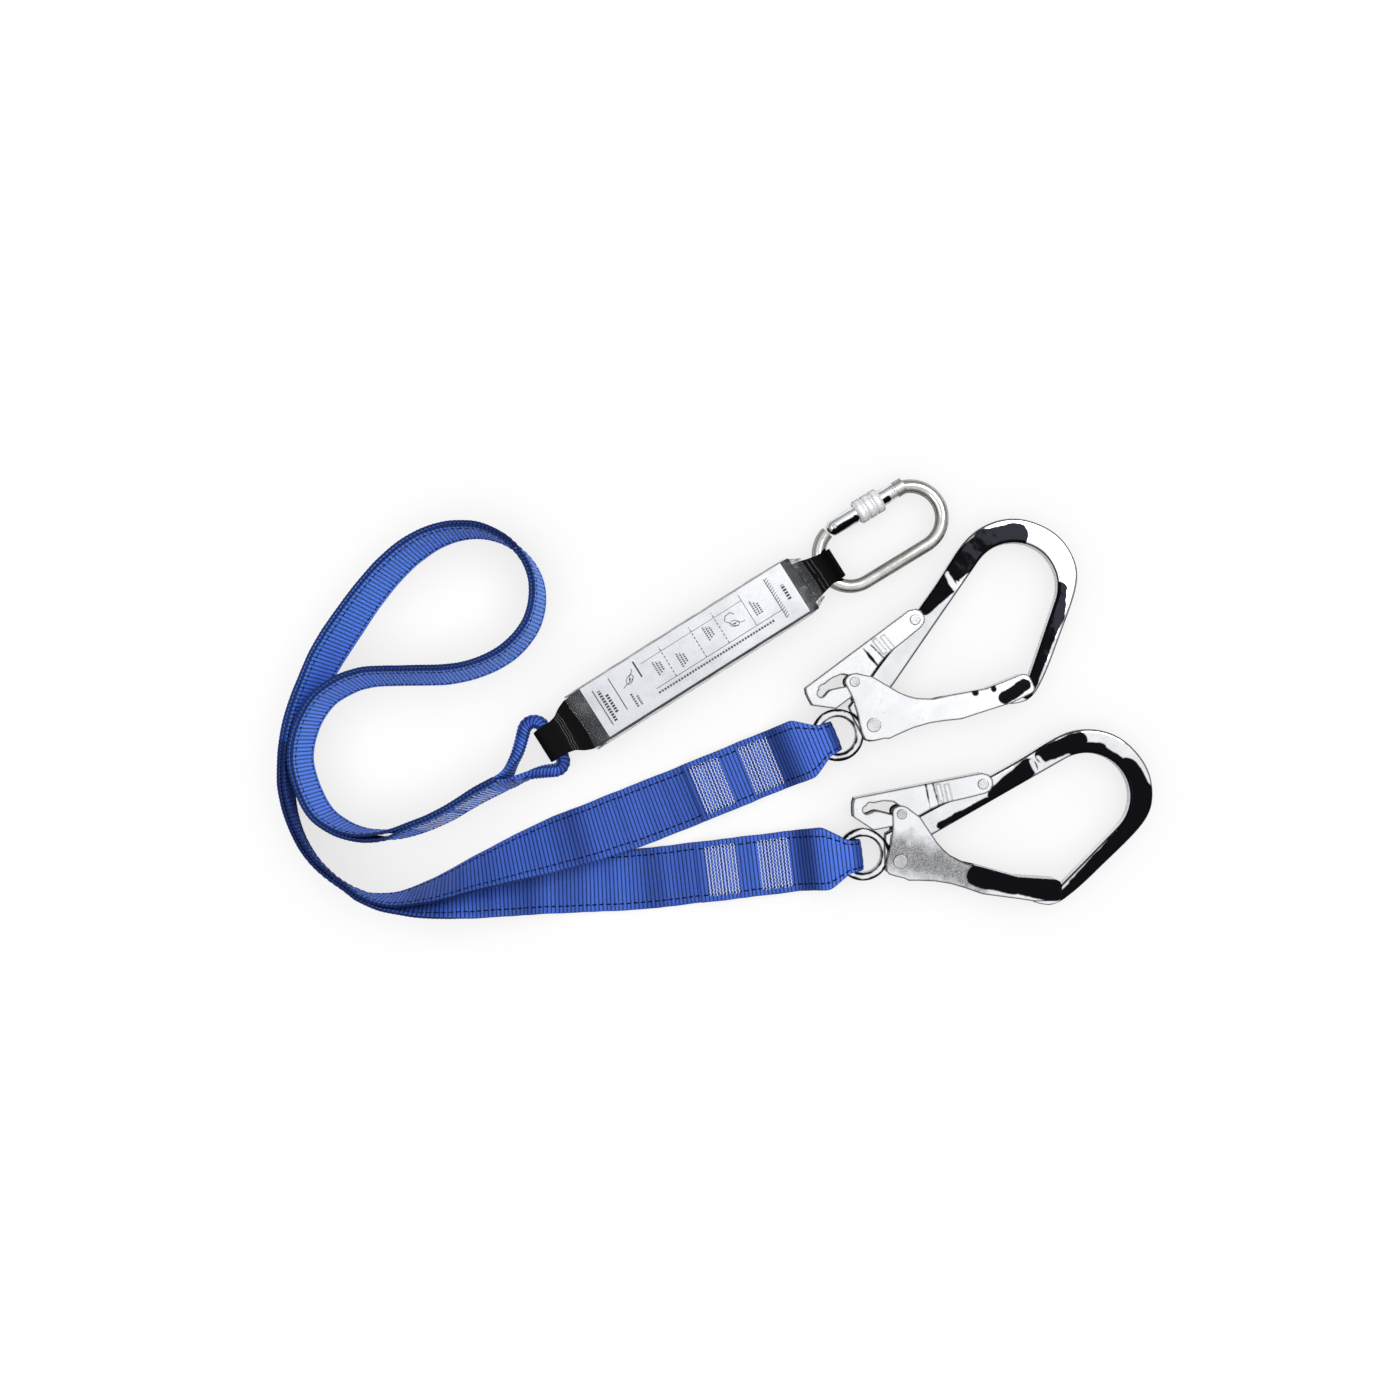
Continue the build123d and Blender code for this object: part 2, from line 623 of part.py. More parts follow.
# ================================================================ scaffold hooks
# Own frame: origin on the gate pivot, x towards the bowl, y towards the lever side,
# z = 0 in the mid-plane.
LEVER_PIVOT = (60.344, 56.081)
LINK = (1.029, 34.325)               # link rivet on the gate's ear
BOWL = (136.637, 46.967)
BOWL_R = 31.6                        # inner radius of the bowl, for scaffold tube
NOSE_SLOPE, SPINE_SLOPE = 45.7, 29.8     # inner straights that leave the bowl, from +x
LIP_X, KNEE_X = 118.188, 22.05           # where those straights end
BOSS_R = 5.292
GATE_MAX, LEVER_MAX = 35.0, 8.0      # opening turns of gate and lever
SWEEP_STEPS = 14
SHEET_L, SHEET_G = 1.5, 1.8          # lever and gate sheet
HALF_T = HOOK_T / 2
EDGE_FILLET = 2.4
Z_LEVER = HALF_T + 0.4
Z_GATE = Z_LEVER + SHEET_L + 0.3
Z_TOP = Z_GATE + SHEET_G
GATE_PIN_R, LEVER_PIN_R, LINK_PIN_R = 2.9, 2.6, 2.2

# All outlines are x, y. Outer sweep of the body, over the bowl to the nose:
BACK = [
    (55.13, 55.13), (64.17, 60.64), (71.88, 64.90), (86.14, 72.91), (103.93, 84.01),
    (116.35, 91.14), (127.16, 94.96), (139.50, 96.06), (152.00, 93.86), (163.17, 88.35),
    (172.36, 80.12), (179.34, 70.56), (183.24, 61.01), (184.71, 50.72), (183.31, 38.22),
    (177.06, 26.61), (170.01, 18.38), (148.47, -2.79), (130.61, -19.70), (121.28, -27.20),
]
TIP = [
    BACK[-1], (117.31, -29.40), (112.82, -31.31), (108.34, -32.19), (102.17, -31.31),
    (97.68, -29.91), (96.29, -28.08), (97.02, -25.87), (109.22, -25.87),
]
HEEL = [
    (12.50, 2.94), (9.56, -4.41), (2.94, -10.00), (-4.41, -9.70), (-10.29, -4.41),
    (-11.03, 8.82), (-10.29, 19.85),
]
LEVER = [
    (-33.15, 46.08), (-34.47, 41.90), (-34.47, 36.75), (-34.18, 32.05), (-19.40, 22.34),
    (-6.10, 24.99), (13.97, 32.85), (22.79, 37.93), (31.24, 41.75), (51.45, 46.45),
    (62.11, 49.17), (65.86, 51.45), (67.77, 55.64), (67.33, 59.54), (64.68, 62.92),
    (59.46, 64.31),
]
LEVER_WEB = [LEVER[0], LEVER[-1], (59.76, 62.33), (-32.78, 44.10)]
J_SLOT = [
    LINK, (-2.06, 37.93), (-5.88, 40.57), (-12.64, 40.87), (-20.21, 39.03), (-24.26, 37.19),
]
RIB_X = (28.665, 34.913)
RIB = [(0, 43.365), (3.087, 44.027), (0.147, 56.228), (-2.94, 55.566)]    # x from RIB_X
GATE = [
    (-5.88, 36.68), (-4.56, 38.88), (-2.13, 40.28), (0.37, 40.72), (2.72, 40.43),
    (5.44, 39.25), (7.57, 37.49), (14.33, 32.41), (22.79, 19.77), (26.75, 13.82),
    (31.24, 8.82), (35.28, 5.29), (39.69, 2.50), (47.26, -1.32), (59.39, -4.12),
    (85.19, -11.25), (92.32, -11.69), (112.82, -13.01), (115.84, -14.41), (117.31, -17.05),
    (117.31, -24.70), (116.42, -27.71), (113.93, -28.67), (97.68, -29.03), (86.14, -27.27),
    (59.39, -23.74), (47.26, -19.48), (36.75, -16.32), (24.92, -14.41), (13.52, -13.97),
    (5.88, -13.97), (2.57, -12.27), (-4.41, -10.73), (-8.45, -9.33), (-10.36, -6.91),
    (-10.51, -2.13), (-9.26, 4.63), (-7.13, 13.01), (-5.51, 24.84),
]
GATE_WEB = [
    (55.13, -3.23), *GATE[14:18], (114.66, -13.67), (114.66, -15.36), (112.68, -14.85),
    (92.17, -13.52), (84.82, -13.08), (58.95, -5.95), (55.13, -5.07),
]
STOP = [(104.81, -13.67), (107.02, -13.82), (107.02, -25.28), (104.81, -25.28)]
STOP_LEG = STOP[:2] + [(107.02, -17.64), (104.81, -17.64)]


def body_outline():
    """Closed wire on the body's lower face; the inner straights are tangent to the bowl."""
    def low(x, y):
        return Vector(x, y, -HALF_T)

    def chain(points):
        return [Edge.make_line(p, q) for p, q in zip(points, points[1:])]

    a1, a2 = math.radians(NOSE_SLOPE), math.radians(SPINE_SLOPE)
    mid_angle = math.radians(37)
    t1 = (BOWL[0] + BOWL_R * math.sin(a1), BOWL[1] - BOWL_R * math.cos(a1))
    t2 = (BOWL[0] - BOWL_R * math.sin(a2), BOWL[1] + BOWL_R * math.cos(a2))
    lip = low(LIP_X, t1[1] - (t1[0] - LIP_X) * math.tan(a1))
    knee = low(KNEE_X, t2[1] - (t2[0] - KNEE_X) * math.tan(a2))
    back = [low(*p) for p in BACK]
    tip = [low(*p) for p in TIP]
    heel = [knee] + [low(*p) for p in HEEL]
    bowl_mid = low(BOWL[0] + BOWL_R * math.cos(mid_angle), BOWL[1] + BOWL_R * math.sin(mid_angle))
    bowl = Edge.make_three_point_arc(low(*t1), bowl_mid, low(*t2))
    edges = [Edge.make_spline(back)] + chain(tip + [lip, low(*t1)])
    edges += [bowl, Edge.make_line(low(*t2), knee)] + chain(heel + [back[0]])
    return Wire(edges)


def outline_edges(shape):
    """Long edges of both faces: the outer sweep, the bowl's arc and the straight runs."""
    longer_than = {GeomType.BSPLINE: 100, GeomType.CIRCLE: 60, GeomType.LINE: 40}
    return [e for e in shape.edges()
            if abs(abs(e.center().Z) - HALF_T) <= 1e-3
            and e.length > longer_than.get(e.geom_type, math.inf)]


def hook_body():
    body = Solid.extrude(Face(body_outline()), Vector(0, 0, HOOK_T))
    body = one(body.fillet(EDGE_FILLET, outline_edges(body)))
    body = one(body + cyl(*LEVER_PIVOT, -HALF_T, HALF_T, BOSS_R))
    ring = cyl(*RING, -RING_T / 2, RING_T / 2, RING_OUT)
    ring = one(ring.fillet(1.6, ring.edges().filter_by(GeomType.CIRCLE)))
    body = one((body + ring) - cyl(*RING, -HALF_T - 2, HALF_T + 2, RING_HOLE))
    body = body - cyl(0, 0, -HALF_T - 1, HALF_T + 1, GATE_PIN_R + 0.05)
    body = body - cyl(*LEVER_PIVOT, -HALF_T - 1, HALF_T + 1, LEVER_PIN_R + 0.05)
    body = body - cyl(*LEVER_PIVOT, HALF_T - 2.4, HALF_T + 1, 4.7)     # lever spring recess
    return one(body)


def slot_tool(points, r, z0, z1):
    """Round-ended slot cutter along a chain of points."""
    tool = None
    for p, q in zip(points, points[1:]):
        d = unit((q[0] - p[0], q[1] - p[1], 0))
        n = (-d[1] * r, d[0] * r)
        run = plate([add(p, n), add(p, n, -1), add(q, n, -1), add(q, n)], z0, z1)
        part = run + cyl(*p, z0, z1, r) + cyl(*q, z0, z1, r)
        tool = part if tool is None else tool + part
    return tool


def lever_sheet(z0):
    # path of the link rivet over the lever as both open
    swept = [turned(turned(LINK, (0, 0), GATE_MAX * i / SWEEP_STEPS),
                    LEVER_PIVOT, -LEVER_MAX * i / SWEEP_STEPS) for i in range(SWEEP_STEPS + 1)]
    sheet = plate(LEVER, z0, z0 + SHEET_L)
    sheet = sheet - slot_tool(swept, LINK_PIN_R + 0.25, z0 - 1, z0 + 3)
    sheet = sheet - slot_tool(J_SLOT, LINK_PIN_R + 0.55, z0 - 1, z0 + 3)
    return sheet - cyl(*LEVER_PIVOT, z0 - 1, z0 + 3, LEVER_PIN_R + 0.06)


def hook_lever():
    """Two sheets joined by a web along the lever's edge, with two ribs on the +z sheet."""
    outer = Z_LEVER + SHEET_L
    web = plate(LEVER_WEB, -outer, outer)
    lever = lever_sheet(Z_LEVER) + lever_sheet(-outer) + web
    for x0 in RIB_X:
        lever = lever + plate([(x0 + x, y) for x, y in RIB], outer - 0.1, outer + 0.28)
    return one(lever)


def gate_sheet(z0):
    sheet = plate(GATE, z0, z0 + SHEET_G)
    sheet = sheet - cyl(0, 0, z0 - 1, z0 + 3, GATE_PIN_R + 0.06)
    return sheet - cyl(*LINK, z0 - 1, z0 + 3, LINK_PIN_R + 0.03)


def hook_gate():
    """Two sheets joined by a web, with a cross stop near the free end."""
    web = plate(GATE_WEB, -Z_TOP, Z_TOP)
    stop = plate(STOP, -HALF_T + 1.5, HALF_T - 1.5)
    stop_leg = plate(STOP_LEG, -Z_TOP + 0.2, Z_TOP - 0.2)
    return one(gate_sheet(Z_GATE) + gate_sheet(-Z_TOP) + web + stop + stop_leg)


def rivet(centre, shaft, head, seat, head_h):
    """Shaft through both sheets with a round-edged head each side; seat is the sheet's face."""
    top = seat + head_h
    body = cyl(*centre, -seat - 0.2, seat + 0.2, shaft)
    for side in (1, -1):
        z0 = side * (seat + 0.06)
        cap = cyl(*centre, min(z0, side * top), max(z0, side * top), head)
        far = [e for e in cap.edges().filter_by(GeomType.CIRCLE)
               if abs(abs(e.center().Z) - top) < 1e-3]
        body = body + one(cap.fillet(0.7, far))
    return one(body)


def torsion_spring(centre, z, radius, wire, leg_start, leg_end):
    """One and a half turns of wire round a pivot, with a straight leg each way."""
    first, sweep, rise, n = 90, 540, 1.0, 30
    points = []
    for i in range(n + 1):
        a = math.radians(first + sweep * i / n)
        points.append((centre[0] + radius * math.cos(a), centre[1] + radius * math.sin(a),
                       z + rise * (i / n - 0.5)))
    points = [leg_start + (points[0][2],)] + points + [leg_end + (points[-1][2],)]
    rings = wire_rings(points, wire, (0, 0, 1))
    wound = loft(rings)
    # the loft may come out inside out; winding the sections the other way turns it
    return wound if wound.volume > 0 else loft([ring[::-1] for ring in rings])


def hook_pieces():
    px, py = LEVER_PIVOT
    return {
        "body": hook_body(),
        "gate": hook_gate(),
        "lever": hook_lever(),
        "gate_rivet": rivet((0, 0), GATE_PIN_R, 5.2, Z_TOP, 1.5),
        "lever_rivet": rivet(LEVER_PIVOT, LEVER_PIN_R, 3.9, Z_LEVER + SHEET_L, 1.5),
        "link_rivet": rivet(LINK, LINK_PIN_R, 3.7, Z_TOP, 1.4),
        "gate_spring": torsion_spring((0, 0), HALF_T + 1.05, 4.2, 0.42,
                                      leg_start=(15.0, 5.0), leg_end=(15.0, -5.4)),
        "lever_spring": torsion_spring(LEVER_PIVOT, HALF_T - 1.15, 3.7, 0.38,
                                       leg_start=(px + 1.2, py + 3.75),
                                       leg_end=(px + 1.2, py - 3.75)),
    }


# ================================================================ build and write
os.makedirs("parts", exist_ok=True)

# name, run, side of the pair, hook, where the folded-back ply ends, stitching places
LEGS = (
    ("leg_a", RUN_A, -1, HOOK_A, 16.4, (32.0, 71.0)),
    ("leg_b", RUN_B, 1, HOOK_B, 31.3, (50.0, 89.0)),
)
leg_lines = {}
for name, run, side, hook, fold_end, places in LEGS:
    direction, axis = leg_axis(run, hook)
    leg_lines[name] = leg_frames(run, side, direction)
    save(name + "_webbing", leg_webbing(leg_lines[name]))
    save(name + "_tail", leg_tail(run[-1], direction, axis, fold_end))
    save(name + "_end_stitching", *tail_stitching(run[-1], direction, places))
save("lanyard_eye", lanyard_eye(leg_lines["leg_a"], leg_lines["leg_b"]))
save("eye_stitching", *eye_stitching(leg_lines["leg_a"]))

save("absorber_sleeve", absorber_sleeve())
save("absorber_tear_webbing", absorber_tear_webbing())
save("absorber_backup_strap",
     flat_strip(2 * TEAR_HALF, 36, 1.4, FOLD_MIDS[-1] + TEAR_T / 2 + 0.2))
save("absorber_label", flat_strip(146, 38.0, 0.35, ABS_Z + PACK_HALF_H - FILM_T - 0.6))
save("absorber_eye_lanyard", absorber_eye(LAN_EYE_X, -75.0, LAN_EYE_R, ABS_Z, 19.0, -1))
save("absorber_eye_karabiner", absorber_eye(KAR_EYE_X, 75.0, KAR_EYE_R, KAR_Z, 17.0, 1))

save("karabiner_body", put_kar(karabiner_body()))
save("karabiner_gate", put_kar(karabiner_gate()))
save("karabiner_gate_pin", put_kar(cyl(HINGE_X, GATE_Y, -6.0, 6.0, PIN_R)))
save("karabiner_nose_pin", put_kar(cyl(NOSE_PIN_X, GATE_Y, -5.6, 5.6, NOSE_PIN_R)))
save("karabiner_lock_sleeve", put_kar(karabiner_lock_sleeve()))
save("karabiner_gate_plunger", put_kar(karabiner_gate_plunger()))
save("karabiner_gate_spring", put_kar(karabiner_gate_spring()))

for part, shape in hook_pieces().items():
    for name, (x, y, turn) in (("hook_a", HOOK_A), ("hook_b", HOOK_B)):
        save(f"{name}_{part}", place(shape, x, y, HOOK_MID, turn))
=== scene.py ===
import json
import math
import bpy
import numpy as np
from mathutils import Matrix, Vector


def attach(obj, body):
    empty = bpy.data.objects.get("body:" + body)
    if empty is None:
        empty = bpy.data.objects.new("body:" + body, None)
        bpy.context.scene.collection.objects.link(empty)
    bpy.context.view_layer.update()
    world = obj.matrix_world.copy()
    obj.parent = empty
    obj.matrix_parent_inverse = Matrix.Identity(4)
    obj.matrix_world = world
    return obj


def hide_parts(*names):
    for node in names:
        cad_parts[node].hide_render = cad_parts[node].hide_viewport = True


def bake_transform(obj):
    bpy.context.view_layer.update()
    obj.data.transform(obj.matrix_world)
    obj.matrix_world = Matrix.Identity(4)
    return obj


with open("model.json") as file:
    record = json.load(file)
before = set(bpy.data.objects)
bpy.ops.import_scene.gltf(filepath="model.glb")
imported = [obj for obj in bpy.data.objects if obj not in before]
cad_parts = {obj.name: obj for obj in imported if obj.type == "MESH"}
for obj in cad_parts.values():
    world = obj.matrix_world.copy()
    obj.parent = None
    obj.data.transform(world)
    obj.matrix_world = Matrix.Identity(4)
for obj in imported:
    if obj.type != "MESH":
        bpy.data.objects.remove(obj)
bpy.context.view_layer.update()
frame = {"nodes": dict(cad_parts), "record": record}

# ------------------------------------------------------------------ driving dimensions, mm
LAYOUT_CENTRE = np.array((12.65, 2.08, 0.0))   # the row frame's origin on the layout
WEB_W, PLY_T = 45.0, 2.0                       # leg webbing
RIB_PITCH = 2.9
EDGE_SEAM = 17.3                               # edge stitching, from the middle of the webbing
FLOOR_GAP = 0.05
LOWER_PLY_Z = FLOOR_GAP + PLY_T / 2
UPPER_PLY_Z = LOWER_PLY_Z + PLY_T + 0.15
MM_PER_UV = 100.0
THREAD_R = 0.27
THREAD_SIDES = 5

HOOKS = {"a": (126.3, -18.2, 25.6), "b": (145.6, -117.3, 0.0)}   # x, y, turn in degrees
HOOK_EYE = (-26.5, 4.4)                        # centre of the eye in the hook's own frame
EYE_HOLE_R, EYE_OUTER_R = 13.2, 19.2
EYE_ROD_R = (EYE_HOLE_R + EYE_OUTER_R) / 2
EYE_MID_Z = 11.7
AXIS_INSET = 2.2                               # from the middle of the rod towards the eye's centre
LOOP_INNER_R, LOOP_SHIFT = 8.4, 3.4            # webbing loop in the hook's eye

ABSORBER_TURN = math.radians(32.2)
ABSORBER_CENTRE = (-6.0, 33.9)
ABSORBER_Z = 12.0
LANYARD_EYE_X, KARABINER_EYE_X = -120.5, 116.0  # tips of the black eyes along the absorber
KARABINER_Z = 10.6

# Both legs side by side: x, y, lean from upright in degrees, distance between their middles.
# A positive lean takes the top edge to the right of travel.
COIL = [
    (-144.6, -60.7, 12, 2.6), (-159.8, -68.6, 11, 2.6), (-170.7, -75.2, 10, 2.6),
    (-181.6, -81.7, 10, 2.6), (-192.5, -87.2, 10, 2.6), (-203.3, -91.5, 10, 2.6),
    (-214.1, -95.4, 8, 3.2), (-224.9, -98.0, 4, 4.8), (-235.8, -98.7, 1, 4.9),
    (-246.7, -97.6, -1, 3.6), (-259.7, -93.2, -3, 2.8), (-271.4, -85.6, -4, 2.8),
    (-278.6, -76.9, -5, 2.8), (-284.4, -64.6, -5, 2.8), (-288.4, -52.2, -5, 2.8),
    (-289.8, -40.6, -5, 2.8), (-287.6, -25.4, -6, 2.8), (-281.2, -10.2, -7, 2.8),
    (-271.8, 2.0, -9, 2.8), (-257.7, 11.2, -11, 2.7), (-246.8, 15.2, -12, 2.6),
    (-235.9, 17.1, -13, 2.6), (-214.1, 17.6, -13, 2.6), (-192.4, 18.0, -13, 2.6),
    (-181.5, 18.9, -12, 2.6), (-170.6, 20.7, -11, 2.6), (-159.7, 23.9, -10, 2.6),
    (-148.8, 28.7, -9, 2.7), (-137.9, 35.9, -8, 2.8), (-128.4, 45.7, -7, 2.8),
    (-121.2, 58.0, -6, 2.8), (-117.9, 72.6, -5, 2.8), (-119.0, 87.1, -3, 2.8),
    (-125.2, 100.8, -1, 2.8), (-136.0, 112.6, 1, 2.8), (-148.0, 119.6, 3, 2.8),
    (-159.6, 123.0, 5, 2.8), (-170.5, 123.4, 6, 2.8), (-181.4, 121.9, 8, 2.8),
    (-192.3, 118.3, 10, 2.8), (-203.2, 112.7, 12, 2.8), (-214.1, 104.9, 13, 2.8),
    (-225.0, 94.7, 14, 2.8), (-236.0, 82.2, 15, 2.8), (-246.9, 67.9, 16, 2.8),
    (-257.8, 52.1, 17, 2.8), (-263.6, 43.4, 17, 2.8), (-272.3, 28.8, 16, 2.8),
    (-279.4, 14.5, 13, 2.8), (-285.6, 1.5, 10, 2.8), (-291.2, -10.9, 6, 2.9),
    (-296.3, -25.4, 1, 3.1), (-299.4, -40.6, -3, 3.3), (-300.4, -54.4, -5, 3.4),
    (-299.9, -65.3, -6, 3.4), (-296.7, -82.7, -8, 3.4), (-289.9, -101.0, -10, 3.3),
    (-280.2, -116.3, -11, 3.2), (-268.2, -128.1, -12, 3.2), (-256.2, -136.4, -11, 3.2),
]
# Each leg alone, from the coil to the flex line where its flat end starts: x, y, lean.
RUN_A = [
    (-244.4, -141.2, -6), (-235.7, -143.4, -1), (-227.0, -144.4, 3), (-218.3, -144.0, 7),
    (-200.9, -140.0, 14), (-183.1, -134.0, 21), (-160.0, -124.8, 30), (-131.1, -114.0, 43),
    (-103.0, -104.4, 57), (-73.5, -94.8, 68), (-47.0, -85.4, 80), (-33.0, -80.2, 88),
    (-20.7, -75.4, 90),
]
RUN_B = [
    (-246.2, -144.6, -8), (-229.3, -148.0, 2), (-209.8, -147.6, 15), (-192.3, -145.0, 30),
    (-174.9, -141.4, 45), (-160.6, -138.9, 58), (-132.3, -136.0, 75), (-103.0, -134.8, 86),
    (-73.8, -133.9, 90), (-46.0, -132.4, 90), (-33.2, -131.2, 90),
]


# ------------------------------------------------------------------ geometry helpers
def to_metres(points):
    return (np.asarray(points, float) - LAYOUT_CENTRE) / 1000.0


def unit(vectors):
    vectors = np.asarray(vectors, float)
    return vectors / np.maximum(np.linalg.norm(vectors, axis=-1, keepdims=True), 1e-9)


def smooth_step(x, start, end):
    t = np.clip((np.asarray(x, float) - start) / (end - start), 0, 1)
    return t * t * (3 - 2 * t)


def turned(x, y, angle):
    c, s = math.cos(angle), math.sin(angle)
    return x * c - y * s, x * s + y * c


def on_absorber(points):
    """From the absorber's own frame, x along it, to the layout."""
    points = np.asarray(points, float)
    x, y = turned(points[..., 0], points[..., 1], ABSORBER_TURN)
    return np.stack([x + ABSORBER_CENTRE[0], y + ABSORBER_CENTRE[1], points[..., 2]], -1)


def hook_eye_centre(hook):
    return np.array(hook[:2]) + turned(*HOOK_EYE, math.radians(hook[2]))


def distances(points):
    """Length along a line of points, at each point."""
    return np.concatenate([[0], np.cumsum(np.linalg.norm(np.diff(points, axis=0), axis=1))])


def spline(points, step):
    """Catmull-Rom curve through table rows, about one point per step in x and y."""
    rows = np.asarray(points, float)
    curve = []
    for i in range(len(rows) - 1):
        p0, p1, p2, p3 = rows[max(i - 1, 0)], rows[i], rows[i + 1], rows[min(i + 2, len(rows) - 1)]
        count = max(1, int(round(np.linalg.norm(p2[:2] - p1[:2]) / step)))
        for t in np.arange(count) / count:
            curve.append(0.5 * (2 * p1 + (p2 - p0) * t + (2 * p0 - 5 * p1 + 4 * p2 - p3) * t * t
                                + (3 * p1 - p0 - 3 * p2 + p3) * t ** 3))
    curve.append(rows[-1])
    return np.array(curve)


def drift(x, seed, scale):
    """Smooth wander between about -1 and 1 along a length."""
    random = np.random.default_rng(seed)
    x = np.asarray(x, float) / scale
    total = np.zeros_like(x)
    for k in range(4):
        total += np.sin(x * (1.0 + 0.73 * k) * 2 * math.pi + random.uniform(0, 6.28)) / (1.0 + k)
    return total / 1.6


def leaning(tangent, lean):
    """Width direction and face normal of webbing that leans this many degrees from upright."""
    right = np.stack([tangent[:, 1], -tangent[:, 0], np.zeros(len(tangent))], -1)
    lean = np.radians(lean)
    width = right * np.sin(lean)[:, None]
    width[:, 2] = np.cos(lean)
    return width, np.cross(tangent, width)


def ply_section(across, side):
    """Closed outline of a ply: place across its width, and -1 to 1 through its thickness."""
    side, rounding = np.array(side), np.array((0.7, 0.0, -0.7))
    face = np.ones(len(across))
    return (np.concatenate([across, side, across[::-1], -side]),
            np.concatenate([face, rounding, -face, -rounding]))


def mesh_object(name, points, faces, uv=None, attributes=None, sharp=None):
    mesh = bpy.data.meshes.new(name)
    mesh.from_pydata(to_metres(np.asarray(points, float).reshape(-1, 3)).tolist(), [], faces)
    mesh.validate()
    if uv is not None:
        layer = mesh.uv_layers.new(name="along")
        corners = np.zeros(len(mesh.loops), np.int32)
        mesh.loops.foreach_get("vertex_index", corners)
        layer.data.foreach_set("uv", np.asarray(uv, np.float32)[corners].ravel())
    for key, values in (attributes or {}).items():
        attribute = mesh.attributes.new(key, "FLOAT", "POINT")
        attribute.data.foreach_set("value", np.asarray(values, np.float32))
    mesh.polygons.foreach_set("use_smooth", [True] * len(mesh.polygons))
    if sharp:
        mesh.set_sharp_from_angle(angle=math.radians(sharp))
    obj = bpy.data.objects.new(name, mesh)
    bpy.context.scene.collection.objects.link(obj)
    return obj


def tube_faces(rings, sides, caps=True, flip=False):
    i = np.arange(rings - 1)[:, None]
    j = np.arange(sides)[None, :]
    a, b = i * sides + j, i * sides + (j + 1) % sides
    quads = np.stack([a, b, b + sides, a + sides], -1).reshape(-1, 4)
    if flip:
        quads = quads[:, ::-1]
    faces = quads.tolist()
    if caps:
        first, last = list(range(sides)), list(range((rings - 1) * sides, rings * sides))
        faces.append(first if flip else first[::-1])
        faces.append(last[::-1] if flip else last)
    return faces


def ribbed_object(name, points, along, around, flip=False, **attributes):
    """Capped tube from rings of points. Attributes are given per ring or per point."""
    rings, sides = points.shape[:2]
    uv = np.stack([np.repeat(along, sides), np.tile(around, rings)], -1) / MM_PER_UV
    values = {}
    for key, value in attributes.items():
        value = value[:, None] if value.ndim == 1 else value
        values[key] = np.broadcast_to(value, (rings, sides)).ravel()
    return mesh_object(name, points, tube_faces(rings, sides, flip=flip), uv, values)


class MeshBag:
    """Collects many small meshes into one object."""
    def __init__(self):
        self.points, self.faces, self.uv, self.count = [], [], [], 0

    def add(self, points, faces, uv=None):
        points = np.asarray(points, float).reshape(-1, 3)
        self.faces += [[k + self.count for k in face] for face in faces]
        self.points.append(points)
        self.uv.append(np.zeros((len(points), 2)) if uv is None else uv)
        self.count += len(points)

    def thread(self, points, radius, flat=1.0, up=(0, 0, 1.0)):
        """A thread along the points; flat squeezes it towards the face it lies on."""
        points = np.asarray(points, float)
        tangent = unit(np.gradient(points, axis=0))
        side = unit(np.cross(tangent, np.asarray(up, float)))
        over = np.cross(side, tangent)
        angle = np.arange(THREAD_SIDES) * 2 * math.pi / THREAD_SIDES
        radii = np.asarray(radius, float) * np.ones(len(points))
        rings = points[:, None] + radii[:, None, None] * (
            np.cos(angle)[None, :, None] * side[:, None]
            + flat * np.sin(angle)[None, :, None] * over[:, None])
        uv = np.stack([np.repeat(distances(points), THREAD_SIDES) / MM_PER_UV,
                       np.tile(angle, len(points))], -1)
        self.add(rings, tube_faces(len(points), THREAD_SIDES), uv)

    def object(self, name):
        return mesh_object(name, np.concatenate(self.points), self.faces, np.concatenate(self.uv))


